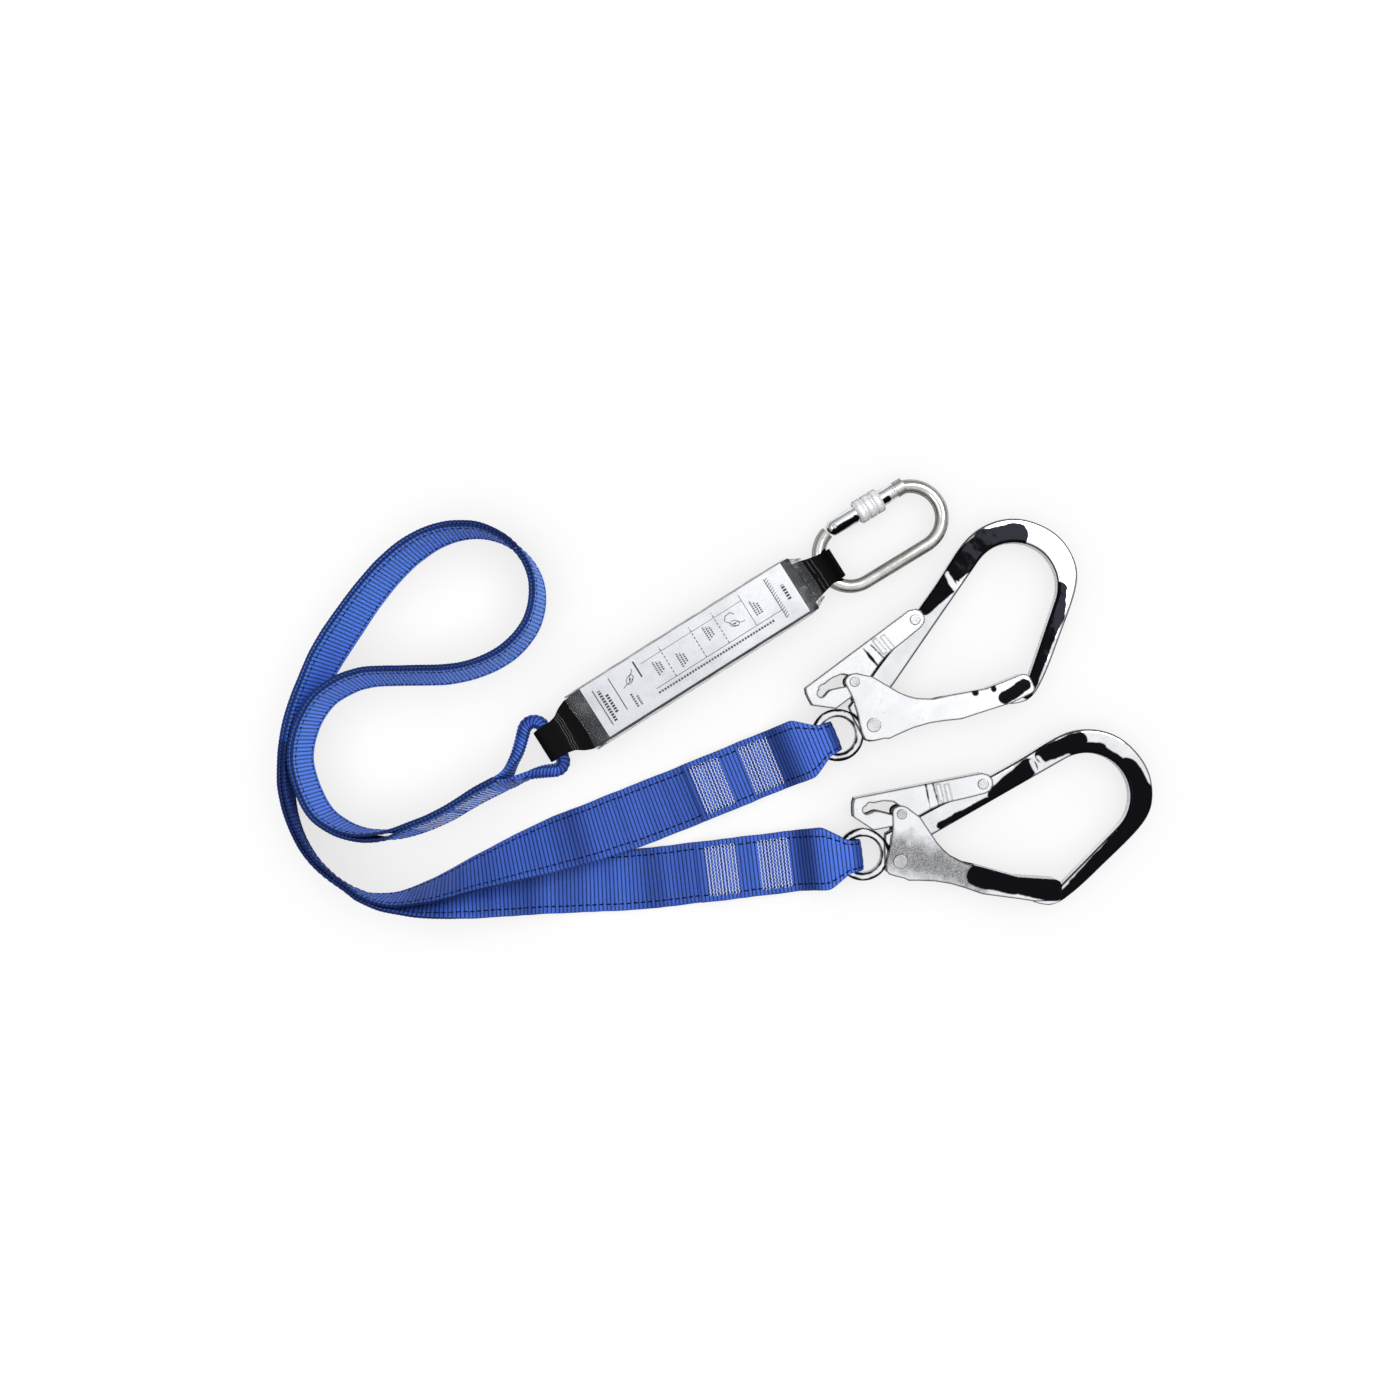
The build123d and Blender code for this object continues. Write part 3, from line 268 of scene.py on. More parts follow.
# ------------------------------------------------------------------ node helpers
class Nodes:
    """Builds a node tree. An input can be fed a value or another node's output."""
    def __init__(self, tree):
        self.tree = tree
        tree.nodes.clear()

    def feed(self, socket, value):
        if isinstance(value, bpy.types.NodeSocket):
            self.tree.links.new(value, socket)
        elif socket.type == "RGBA":
            socket.default_value = (*value[:3], 1)
        else:
            socket.default_value = value

    def node(self, kind, inputs=(), **settings):
        node = self.tree.nodes.new("ShaderNode" + kind)
        for key, value in settings.items():
            setattr(node, key, value)
        for key, value in dict(inputs).items():
            self.feed(node.inputs[key], value)
        return node

    def coords(self, kind="Object"):
        return self.node("TexCoord").outputs[kind]

    def split(self, vector):
        return self.node("SeparateXYZ", {0: vector}).outputs

    def maths(self, operation, first, second=0.0, *third, clamp=False):
        return self.node("Math", enumerate((first, second, *third)),
                         operation=operation, use_clamp=clamp).outputs[0]

    def vector(self, operation, inputs, output=0):
        """Vector maths; output 1 is the plain number of a dot product, length or distance."""
        return self.node("VectorMath", inputs, operation=operation).outputs[output]

    def mix(self, factor, first, second, mode="MIX"):
        return self.node("MixRGB", enumerate((factor, first, second)), blend_type=mode).outputs[0]

    def ramp(self, value, stops, blue=1.0):
        """Grey ramp of (position, tone) stops."""
        node = self.node("ValToRGB", {0: value})
        elements = node.color_ramp.elements
        while len(elements) < len(stops):
            elements.new(0.5)
        for element, (position, tone) in zip(elements, stops):
            element.position = position
            element.color = (tone, tone, tone * blue, 1)
        return node.outputs[0]

    def noise(self, scale, detail=3.0, stretch=None):
        place = self.coords()
        if stretch:
            place = self.node("Mapping", {0: place, "Scale": stretch}).outputs[0]
        return self.node("TexNoise", {"Vector": place, "Scale": scale, "Detail": detail,
                                      "Roughness": 0.55}).outputs["Fac"]

    def bump(self, height, distance, strength=1.0, under=None):
        inputs = {"Distance": distance, "Strength": strength, "Height": height}
        if under:
            inputs["Normal"] = under
        return self.node("Bump", inputs).outputs[0]


class Surface(Nodes):
    """A material with one principled shader."""
    def __init__(self, name):
        self.material = bpy.data.materials.new(name)
        self.material.use_nodes = True
        super().__init__(self.material.node_tree)
        self.output = self.node("OutputMaterial")
        self.shader = self.node("BsdfPrincipled")
        self.feed(self.output.inputs[0], self.shader.outputs[0])

    def set(self, **inputs):
        for key, value in inputs.items():
            self.feed(self.shader.inputs[key.replace("_", " ")], value)

    def attribute(self, name):
        return self.node("Attribute", attribute_name=name).outputs["Fac"]

    def strand_uv(self):
        return self.split(self.node("UVMap", uv_map="along").outputs[0])

    def phase(self, coordinate, pitch):
        """One full turn for each pitch, in mm, along a UV direction."""
        return self.maths("MULTIPLY", coordinate, 2 * math.pi * MM_PER_UV / pitch)

    def upward(self):
        """1 on faces that look straight up or down, 0 on upright walls."""
        return self.maths("ABSOLUTE", self.split(self.coords("Normal"))[2])

    # The masks below take mm of the row frame and are positive inside their shape.
    def capsule(self, place, x0, y0, x1, y1, radius):
        start = (x0 / 1000, y0 / 1000, 0)
        span = (x1 / 1000 - start[0], y1 / 1000 - start[1], 0)
        squared = max(span[0] ** 2 + span[1] ** 2, 1e-10)
        offset = self.vector("SUBTRACT", {0: place, 1: start})
        along = self.vector("DOT_PRODUCT", {0: offset, 1: tuple(v / squared for v in span)}, 1)
        along = self.maths("MULTIPLY", along, 1.0, clamp=True)
        nearest = self.vector("SCALE", {0: span, 3: along})
        away = self.vector("SUBTRACT", {0: offset, 1: nearest})
        return self.maths("SUBTRACT", radius / 1000, self.vector("LENGTH", {0: away}, 1))

    def ring(self, place, x, y, radius, half_width):
        centre = (x / 1000, y / 1000, 0)
        reach = self.vector("DISTANCE", {0: place, 1: centre}, 1)
        off = self.maths("ABSOLUTE", self.maths("SUBTRACT", reach, radius / 1000))
        return self.maths("SUBTRACT", half_width / 1000, off)

    def blotches(self, shapes, holes=(), ragged=2.2, soft=1100.0):
        """0 to 1 mask of shapes less holes. ragged is the edge's wander in mm, soft its slope."""
        flat = self.vector("MULTIPLY", {0: self.coords(), 1: (1, 1, 0)})
        mask = None
        for shape in shapes:
            part = (self.capsule if len(shape) == 5 else self.ring)(flat, *shape)
            mask = part if mask is None else self.maths("MAXIMUM", mask, part)
        for hole in holes:
            part = self.maths("MULTIPLY", self.capsule(flat, *hole), -1.0)
            mask = self.maths("MINIMUM", mask, part)
        noises = self.noise(95, 2.0), self.noise(420, 3.0)
        wander = [self.maths("MULTIPLY", self.maths("SUBTRACT", noise, 0.5), ragged * share / 1000)
                  for noise, share in zip(noises, (1.6, 0.3))]
        for part in wander:
            mask = self.maths("ADD", mask, part)
        return self.maths("MULTIPLY_ADD", mask, soft, 0.5, clamp=True)


# ------------------------------------------------------------------ cloth and print materials
def webbing_material(name, groove_shade, low, high, roughness, sheen, sheen_tint, specular, painted_light_colour=None):
    """Ribbed webbing: painted shade in the grooves, patchy body colour, painted sheen along the band
    attribute, and painted light where the lean attribute is high.
    """
    k = Surface(name)
    rib, band = k.attribute("rib"), k.attribute("band")
    patches, fine = k.noise(14, 3.0), k.noise(900, 2.0)
    body = k.mix(k.ramp(patches, [(0.32, 0.0), (0.7, 1.0)]), low, high)
    # painted sheen: the band attribute darkens and lightens the body colour along the length
    painted_sheen = k.mix(k.ramp(band, [(0.0, 0.0), (1.0, 1.0)]), tuple(v * 0.4 for v in low),
                   tuple(min(1.0, v * 1.45 + 0.015) for v in high))
    body = k.mix(0.8, body, painted_sheen)
    # painted light: lighter colour where the lean attribute is high, on faces turned towards the
    # light
    if painted_light_colour:
        body = k.mix(k.attribute("lean"), body, painted_light_colour)
    # painted shade in the grooves between the ribs, lighter towards the crowns
    crowns = k.ramp(rib, [(0.0, 0.0), (0.45, 0.3), (0.8, 0.85), (1.0, 1.0)])
    colour = k.mix(crowns, groove_shade, body)
    colour = k.mix(0.25, colour, k.ramp(fine, [(0.3, 0.45), (0.7, 1.35)]), "MULTIPLY")
    # fine yarns side by side, broken up four times in every rib
    uv = k.strand_uv()
    yarn = k.maths("SINE", k.phase(uv[1], pitch=0.62))
    cross = k.maths("SINE", k.phase(uv[0], pitch=RIB_PITCH / 4))
    weave = k.maths("MULTIPLY", yarn, k.maths("ADD", cross, 1.6))
    normal = k.bump(weave, distance=0.00003, strength=0.55)
    normal = k.bump(fine, distance=0.00006, strength=0.4, under=normal)
    k.set(Base_Color=colour, Normal=normal, Roughness=roughness, Sheen_Weight=sheen,
          Sheen_Roughness=0.35, Sheen_Tint=sheen_tint, Specular_IOR_Level=specular)
    return k.material


def thread_material(name, low, high, specular=0.3, sheen=0.2):
    """Twisted thread."""
    k = Surface(name)
    fine = k.noise(700, 2.0)
    uv = k.strand_uv()
    twist = k.maths("SINE", k.maths("ADD", k.phase(uv[0], pitch=0.8), uv[1]))
    k.set(Base_Color=k.mix(k.ramp(fine, [(0.3, 0.0), (0.7, 1.0)]), low, high),
          Normal=k.bump(twist, distance=0.00008, strength=0.7),
          Roughness=0.5, Sheen_Weight=sheen, Specular_IOR_Level=specular)
    return k.material


def card_material():
    k = Surface("label_card")
    patches, fine = k.noise(9, 2.0), k.noise(650, 3.0)
    colour = k.mix(k.ramp(patches, [(0.35, 0.0), (0.7, 1.0)]), (0.66, 0.67, 0.7), (0.86, 0.87, 0.89))
    colour = k.mix(0.12, colour, k.ramp(fine, [(0.3, 0.5), (0.7, 1.3)]), "MULTIPLY")
    k.set(Base_Color=colour, Normal=k.bump(fine, distance=0.00003, strength=0.5),
          Roughness=0.42, Metallic=0.12)
    return k.material


def ink_material(name, tone):
    k = Surface(name)
    wear = k.ramp(k.noise(900, 2.0), [(0.35, 0.0), (0.75, 1.0)])
    k.set(Base_Color=k.mix(wear, (tone, tone, tone), (tone * 2.2, tone * 2.2, tone * 2.3)),
          Roughness=0.55)
    return k.material


def film_material():
    """Clear shrink film: see-through face on, more solid at grazing angles, slightly hazy."""
    k = Surface("clear_film")
    facing = k.node("LayerWeight", {"Blend": 0.32}).outputs["Facing"]
    haze = k.ramp(k.noise(60, 4.0, stretch=(1, 1, 1)), [(0.45, 0.0), (0.75, 0.07)])
    solid = k.ramp(facing, [(0.0, 0.035), (0.4, 0.10), (0.75, 0.5), (0.95, 0.7)])
    k.set(Alpha=k.maths("ADD", haze, solid),
          Normal=k.bump(k.noise(120, 3.0), distance=0.0006, strength=0.5),
          Roughness=0.06, IOR=1.5, Specular_IOR_Level=1.0, Base_Color=(0.42, 0.44, 0.48))
    return k.material


BLUE = dict(groove_shade=(0.0015, 0.003, 0.035), roughness=0.55, sheen=0.05, sheen_tint=(0.35, 0.6, 1.0),
            specular=0.12, painted_light_colour=(0.11, 0.3, 1.0))
blue_upper = webbing_material("blue_webbing", low=(0.026, 0.07, 0.37), high=(0.046, 0.118, 0.52),
                              **BLUE)
# leg b's copy of the same blue is painted a little lighter: painted light
blue_lower = webbing_material("blue_webbing_lower", low=(0.028, 0.077, 0.4),
                              high=(0.05, 0.13, 0.56), **BLUE)
black_web = webbing_material(
    "black_webbing", groove_shade=(0.0004, 0.0004, 0.0005), low=(0.0009, 0.0009, 0.001),
    high=(0.0016, 0.0016, 0.0018), roughness=0.85, sheen=0.0, sheen_tint=(0.6, 0.6, 0.65),
    specular=0.03)
tear_web = webbing_material(
    "tear_webbing", groove_shade=(0.003, 0.0035, 0.005), low=(0.009, 0.01, 0.013),
    high=(0.018, 0.02, 0.024), roughness=0.6, sheen=0.03, sheen_tint=(0.7, 0.75, 0.85),
    specular=0.2)
white_thread = thread_material("white_thread", low=(0.82, 0.86, 0.92), high=(0.99, 0.99, 1.0),
                               specular=0.1)
navy_thread = thread_material("navy_thread", low=(0.001, 0.002, 0.012), high=(0.003, 0.005, 0.028),
                              specular=0.1, sheen=0.0)
grey_thread = thread_material("grey_thread", low=(0.06, 0.06, 0.065), high=(0.16, 0.16, 0.17))

# ------------------------------------------------------------------ metal materials
# Dark studio reflections on the bright plate, and clear patches inside them, for each hook:
# x, y, x, y, radius of a capsule in mm of the row frame.
DARK_BODY = {
    "a": [(177.0, 94.9, 196.0, 112.0, 10.6), (196.0, 112.6, 217.8, 118.0, 9.4),
          (150.5, 68.5, 166.0, 82.2, 8.2), (250.4, 79.2, 248.1, 59.7, 5.1),
          (248.1, 59.7, 235.4, 28.5, 4.9), (235.4, 28.5, 225.7, 3.1, 4.9),
          (131.0, 10.9, 173.9, 73.4, 1.2)],
    "b": [(237.4, -41.8, 263.7, -31.0, 6.2), (203.2, -71.1, 226.6, -51.5, 6.6),
          (162.2, -93.5, 197.4, -75.0, 2.7), (259.8, -36.9, 279.3, -38.9, 5.1),
          (279.3, -38.9, 296.9, -51.5, 4.7), (298.5, -53.5, 310.5, -73.0, 9.4),
          (310.5, -73.0, 299.5, -97.4, 9.0), (298.9, -97.4, 256.0, -144.3, 6.4)],
}
CLEAR_BODY = {
    "a": [(167.1, 90.0, 174.9, 76.3, 2.0), (177.8, 85.1, 184.1, 89.0, 1.2)],
    "b": [(228.6, -46.7, 232.9, -54.5, 1.6), (233.5, -43.7, 240.7, -51.5, 1.2)],
}
# Painted dark reflections on the gate and lever sheets, and after them painted grey grainy
# reflections, in the same form.
DARK_SHEET = {
    "a": [(209.1, -0.8, 223.1, 9.0, 4.7), (186.6, 4.7, 187.2, 2.7, 2.3),
          (200.3, 7.4, 200.7, 5.8, 1.8), (136.9, -28.3, 217.1, -5.6, 1.3),
          (107.1, -31.6, 122.0, -32.6, 1.2), (106.3, 35.1, 116.4, 23.2, 0.6),
          (111.9, 37.8, 122.7, 26.9, 0.6)],
    "b": [(189.6, -129.6, 246.2, -140.3, 8.6), (151.1, -61.9, 154.8, -80.5, 0.5),
          (156.3, -61.1, 161.2, -79.4, 0.5)],
}
GREY_SHEET = {
    "a": (),
    "b": [(129.0, -112.2, 146.6, -118.0, 13.0), (146.6, -117.0, 188.0, -130.0, 11.5)],
}


def metal_material(name, low, high, roughness, wave_scale, wave_mm, rim=None, spots=0.0,
                   spot_colour=(0.12, 0.12, 0.12), grain=None, grey=(), black=(), clear=(),
                   outline_mm=0.0, metallic=1.0):
    """Plated metal, slowly wavy, with fine grain, dull spots, painted highlights on convex edges, and
    painted dark and grey reflections.

    rim holds the stops of a painted shade and dark reflection that darken faces by how far they look
    up, from 0 on upright walls.
    """
    k = Surface(name)
    waves, fine = k.noise(wave_scale, 2.0), k.noise(420, 4.0, stretch=grain)
    colour = k.mix(k.ramp(k.noise(55, 4.0), [(0.35, 0.0), (0.65, 1.0)]), low, high)
    # painted highlight: convex edges lighter
    pointiness = k.node("NewGeometry").outputs["Pointiness"]
    colour = k.mix(k.ramp(pointiness, [(0.5, 0.0), (0.56, 0.35)]), colour, (0.97, 0.97, 0.96))
    if spots:
        cells = k.node("TexVoronoi", {"Vector": k.coords(), "Scale": 260}).outputs["Distance"]
        dots = k.ramp(cells, [(0.12, 1.0), (0.3, 0.0)])
        areas = k.ramp(k.noise(70, 2.0), [(0.45, 0.0), (0.62, spots)])
        colour = k.mix(k.maths("MULTIPLY", dots, areas), colour, spot_colour)
    if grey:
        # painted grey reflection, grainy, inside the grey shapes
        area = k.blotches(grey, ragged=12.0, soft=80.0)
        grains = k.ramp(k.noise(2600, 3.0), [(0.36, 0.3), (0.62, 1.0)])
        colour = k.mix(k.maths("MULTIPLY", area, grains), colour, (0.05, 0.05, 0.055))
    if black:
        # the dark reflections show on the flat faces and not on the walls
        flat = k.ramp(k.upward(), [(0.3, 0.0), (0.5, 1.0)])
        area = k.maths("MULTIPLY", k.blotches(black, clear), flat)
        colour = k.mix(area, colour, (0.006, 0.006, 0.008))
    if outline_mm:
        # a thin dark reflection along every pressed edge
        rounded = k.node("Bevel", {"Radius": outline_mm / 1000}, samples=10).outputs[0]
        true_normal = k.node("NewGeometry").outputs["True Normal"]
        same = k.vector("DOT_PRODUCT", {0: rounded, 1: true_normal}, 1)
        colour = k.mix(k.ramp(same, [(0.0, 0.95), (0.965, 0.92), (0.992, 0.0)]), colour,
                       (0.01, 0.01, 0.012))
    # painted shade and dark reflection, by how far the face looks up
    if rim:
        colour = k.mix(k.ramp(k.upward(), rim), colour, (0.008, 0.008, 0.01))
    shine = k.ramp(fine, [(0.3, roughness[0]), (0.75, roughness[1])])
    normal = k.bump(waves, distance=wave_mm / 1000)
    normal = k.bump(fine, distance=0.00003, strength=0.35, under=normal)
    k.set(Base_Color=colour, Roughness=shine, Normal=normal, Metallic=metallic)
    return k.material


hook_steels = {"chrome_steel": {}, "sheet_steel": {}}
for letter, hook in HOOKS.items():
    eye_x, eye_y = hook_eye_centre(hook) - LAYOUT_CENTRE[:2]
    # painted thin dark reflection rings just outside the eye's hole and just inside its outer edge
    eye_rings = [(eye_x, eye_y, EYE_HOLE_R + 0.9, 0.7), (eye_x, eye_y, EYE_OUTER_R - 0.7, 1.1)]
    hook_steels["chrome_steel"][letter] = metal_material(
        "chrome_steel_" + letter, low=(0.74, 0.75, 0.78), high=(0.88, 0.89, 0.91),
        roughness=(0.03, 0.1), wave_scale=46, wave_mm=0.5, spots=0.2, spot_colour=(0.3, 0.3, 0.31),
        black=DARK_BODY[letter] + eye_rings, clear=CLEAR_BODY[letter], outline_mm=1.9,
        rim=[(0.0, 0.12), (0.14, 0.15), (0.24, 0.9), (0.76, 0.88), (0.9, 0.12), (0.96, 0.0)])
    hook_steels["sheet_steel"][letter] = metal_material(
        "sheet_steel_" + letter, low=(0.79, 0.8, 0.82), high=(0.87, 0.88, 0.9),
        roughness=(0.1, 0.24), wave_scale=24, wave_mm=0.25, grain=(1, 9, 1), spots=0.2,
        spot_colour=(0.35, 0.35, 0.35), black=DARK_SHEET[letter], grey=GREY_SHEET[letter],
        outline_mm=2.4, rim=[(0.0, 0.6), (0.3, 0.95), (0.9, 0.95), (0.985, 0.0)])
zinc = metal_material(
    "zinc_steel", low=(0.46, 0.46, 0.43), high=(0.68, 0.68, 0.65), roughness=(0.1, 0.22),
    wave_scale=60, wave_mm=0.16, spots=0.3, spot_colour=(0.2, 0.2, 0.17),
    rim=[(0.0, 0.8), (0.42, 0.72), (0.72, 0.3), (0.88, 0.0)])
# the gate's two black capsules are painted shade for its dark window
zinc_gate = metal_material(
    "zinc_gate", low=(0.6, 0.62, 0.65), high=(0.8, 0.82, 0.85), roughness=(0.1, 0.26),
    wave_scale=60, wave_mm=0.2, spots=0.3, spot_colour=(0.2, 0.2, 0.2),
    rim=[(0.0, 0.7), (0.35, 0.5), (0.55, 0.0)],
    black=[(86.0, 121.2, 101.0, 130.4, 2.4), (119.0, 141.4, 125.0, 145.0, 2.2)])
zinc_lock = metal_material(
    "zinc_lock", low=(0.8, 0.81, 0.83), high=(0.96, 0.96, 0.97), roughness=(0.4, 0.6),
    wave_scale=90, wave_mm=0.2, spots=0.35, spot_colour=(0.4, 0.4, 0.4), metallic=0.45,
    rim=[(0.0, 0.6), (0.3, 0.4), (0.5, 0.0)])
rivet = metal_material(
    "rivet_steel", low=(0.32, 0.32, 0.33), high=(0.5, 0.5, 0.5), roughness=(0.25, 0.5),
    wave_scale=300, wave_mm=0.12, spots=0.4, rim=[(0.0, 0.9), (0.6, 0.75), (0.85, 0.0)],
    outline_mm=0.7)
spring = metal_material(
    "spring_steel", low=(0.3, 0.3, 0.32), high=(0.45, 0.45, 0.46), roughness=(0.25, 0.4),
    wave_scale=300, wave_mm=0.05)
card, clear_film = card_material(), film_material()
ink, ink_pale = ink_material("label_ink", 0.006), ink_material("label_ink_pale", 0.045)


def dress(obj, material, ride=None, replaces=()):
    obj.data.materials.clear()
    obj.data.materials.append(material)
    if ride:
        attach(obj, ride)
    if replaces:
        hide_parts(*replaces)


# ------------------------------------------------------------------ leg webbing
# Points across a face; the close ones follow the dip along the edge seam.
FACE_ACROSS = np.array((-21.8, -20.0, -18.2, -EDGE_SEAM, -16.2, -8.0, 0.0,
                        8.0, 16.2, EDGE_SEAM, 18.2, 20.0, 21.8))
# Rib profile: place within a rib's pitch, height.
RIB_PROFILE = ((0.0, 0.0), (0.12, 0.6), (0.3, 0.92), (0.5, 1.0), (0.7, 0.92), (0.88, 0.6))
# Half width of the flat end: distance past the loop's axis, half width.
GATHER = ((-15, 22.5), (-12.5, 22.0), (-10.0, 20.6), (2.5, 12.4), (6.0, 11.6), (12.0, 11.2),
          (20, 11.1))


def gather_curl(gather, fraction):
    """Where gathered, the sides curl in and the middle puckers; fraction is 1 at the edge."""
    return (-gather * (2.6 * np.clip(fraction - 0.45, 0, 1) ** 1.3)
            - gather * 0.3 * np.cos(fraction * math.pi * 3.2))


class Leg:
    """The middle line of one leg: along the coil, its own run, then the flat end.

    side is 1 for the ply to the right of the coil's travel, -1 for the left. fold_end is where
    the folded-back ply stops, and sewn_at the middles of the sewn blocks, in mm past the flex line.
    """
    def __init__(self, letter, run, side, fold_end, sewn_at, seed):
        self.letter, self.fold_end, self.sewn_at, self.seed = letter, fold_end, sewn_at, seed
        self.end_node = f"leg_{letter}_end"
        self.start = np.array((*run[-1][:2], 0.0))
        span = hook_eye_centre(HOOKS[letter]) - self.start[:2]
        reach = math.hypot(*span)
        self.direction = np.array((*(span / reach), 0.0))
        self.loop_at = reach - EYE_ROD_R + AXIS_INSET
        self.bend_from, self.bend_to = self.loop_at - 36.0, self.loop_at - 4.5

        coil = self.standing(spline(COIL, 3.0), side)
        own_line = spline([row + (0.0,) for row in run], 3.0)
        own = self.standing(own_line, side)
        past = (own[:, :2] - self.start[:2]) @ self.direction[:2]
        own[:, 2] += self.lift(past) * smooth_step(own_line[:, 2], 62, 86)
        rows = np.concatenate([coil, own[:-1], self.flat_end()])
        self.rows, self.lengths = rows, distances(rows[:, :3])
        self.length = self.lengths[-1]

    def standing(self, line, side):
        """Rows of centre, width direction, face normal, and -1 for 'before the flex line'."""
        xy = line[:, :2]
        tangent = np.zeros((len(line), 3))
        tangent[1:-1, :2] = xy[2:] - xy[:-2]
        tangent[0, :2], tangent[-1, :2] = xy[1] - xy[0], xy[-1] - xy[-2]
        width, normal = leaning(unit(tangent), line[:, 2])
        lean = np.radians(line[:, 2])
        z = WEB_W / 2 * np.abs(np.cos(lean)) + PLY_T / 2 * np.abs(np.sin(lean)) + FLOOR_GAP
        centre = np.column_stack([xy, z]) + normal * (side * line[:, 3] / 2)[:, None]
        centre[:, 2] = z
        return np.column_stack([centre, width, normal, np.full(len(line), -1.0)])

    def lift(self, past):
        """How far the flat webbing rises off the floor."""
        wave = 0.5 + 0.5 * np.clip(drift(past, self.seed, 150.0), -1, 1)
        return 0.9 * wave * smooth_step(past, -95, -55)

    def flat_lift(self, past):
        return self.lift(past) * (1 - smooth_step(past, self.bend_from - 10, self.bend_from))

    def end_profile(self):
        """Distance past the flex line and height: lower ply, loop, folded-back ply."""
        radius = LOOP_INNER_R + PLY_T / 2
        share = np.linspace(0, 1, 33)

        def flat(first, last, z):
            past = np.linspace(first, last, 60)
            return np.stack([past, z + self.flat_lift(past)], -1)

        def bend(z, loop_z):
            past = self.bend_from + (self.bend_to - self.bend_from) * share
            return np.stack([past, z + (loop_z - z) * smooth_step(share, 0, 1)], -1)

        rise = bend(LOWER_PLY_Z, EYE_MID_Z - radius)
        angle = np.linspace(0, math.pi, 40)
        loop = np.stack([self.loop_at + LOOP_SHIFT + radius * np.sin(angle),
                         EYE_MID_Z - radius * np.cos(angle)], -1)
        fall = bend(UPPER_PLY_Z, EYE_MID_Z + radius)[::-1]
        # the upper ply bows a little above a straight drop
        fall[:, 1] += 1.1 * np.sin(math.pi * share[::-1]) ** 2
        return np.concatenate([flat(0.3, self.bend_from, LOWER_PLY_Z), rise[1:], loop, fall,
                               flat(self.bend_from, self.fold_end, UPPER_PLY_Z + 0.15)[1:]])

    def flat_end(self):
        past, z = self.end_profile().T
        centre = self.start + np.outer(past, self.direction)
        centre[:, 2] = z
        right = np.array((self.direction[1], -self.direction[0], 0.0))
        width = np.repeat(right[None], len(centre), 0)
        normal = np.cross(unit(np.gradient(centre, axis=0)), width)
        return np.column_stack([centre, width, normal, past])

    def sample(self, at):
        """Centre, width direction, face normal and distance past the flex line."""
        rows = np.stack([np.interp(at, self.lengths, column) for column in self.rows.T], -1)
        width, normal = unit(rows[:, 3:6]), unit(rows[:, 6:9])
        normal = rows[:, 6:9] - (rows[:, 6:9] * width).sum(-1, keepdims=True) * width
        return rows[:, :3], width, unit(normal), rows[:, 9]

    def width_share(self, past):
        """1 at full width, less where the webbing is gathered into the hook's eye."""
        places, halves = zip(*GATHER)
        places = [-1] + [self.loop_at + place for place in places]
        return np.interp(past, places, (WEB_W / 2, *halves)) / (WEB_W / 2)

    def wander(self, at):
        """The webbing is never quite straight: sideways and off its face."""
        return (0.18 * drift(at, self.seed + 3, 37.0), 0.12 * drift(at, self.seed + 5, 61.0))

    def strand(self):
        ribs = int(self.length / RIB_PITCH)
        places, heights = np.array(RIB_PROFILE).T
        at = (np.arange(ribs)[:, None] + places[None]).ravel() * RIB_PITCH
        height = np.tile(heights, ribs)[:, None]
        centre, width, normal, past = self.sample(at)
        share = self.width_share(past)[:, None]
        half = WEB_W / 2
        across, thick = ply_section(FACE_ACROSS, (half - 0.15, half, half - 0.15))
        selvedge = np.abs(across) > 22.2
        seam_dip = np.where(np.abs(np.abs(across) - EDGE_SEAM) < 0.2, 0.16, 0.0)
        sideways, off_face = self.wander(at)

        curl = gather_curl(1 - share, np.abs(across)[None] / half)
        relief = 0.32 * (height - 0.6) * np.where(np.abs(thick) > 0.9, 1.0, 0.6)
        offset = thick * PLY_T / 2 + np.sign(thick) * (relief - seam_dip) + curl
        offset = offset + off_face[:, None]
        spread = across * share + np.sign(across) * np.where(selvedge, 0.16, 0.0) * (height - 0.5)
        spread = spread + sideways[:, None]
        points = (centre[:, None] + width[:, None] * spread[..., None]
                  + normal[:, None] * offset[..., None])
        points[..., 2] = np.maximum(points[..., 2], 0.03)

        # standing lengths get painted shade along the selvedge, and painted light (the lean
        # attribute) where the upper face turns right
        upright = np.abs(width[:, 2])
        painted_edge_shade = 0.75 * (1 - 0.8 * smooth_step(upright, 0.55, 0.9)[:, None])
        rib = height * np.where(selvedge, painted_edge_shade, 1.0)
        east = np.where(normal[:, 2] > 0, 1, -1) * (normal[:, 0] * 0.85 - normal[:, 1] * 0.25)
        lean = smooth_step(upright, 0.4, 0.85) * (0.34 + 0.66 * np.clip(east, -0.4, 1)) + 0.04
        # sheen comes and goes along the length, and turns with the bends of the upper ply
        seed, end, loop = self.seed, self.fold_end, self.loop_at
        band = 0.52 + 0.24 * drift(at, seed + 8, 97.0) + 0.13 * drift(at, seed + 9, 31.0)
        upper = (np.arange(len(at)) > np.argmax(past)) & (past > 0)
        fold = (0.3 * np.exp(-((past - end + 14) / 9.0) ** 2)
                + 0.3 * smooth_step(past, end - 3, end + 10) + 0.12 * drift(past, seed, 24.0)
                - 0.5 * smooth_step(past, loop - 40, loop - 33)
                + 0.95 * smooth_step(past, loop - 25, loop - 12)
                - 0.85 * smooth_step(past, loop + 4, loop + 9))
        band = np.clip(np.where(upper, 0.3 + fold, band), 0, 1)
        return ribbed_object(f"leg_{self.letter}_strand", points, at, across, flip=True,
                             rib=rib, band=band, lean=np.clip(lean, 0, 1))

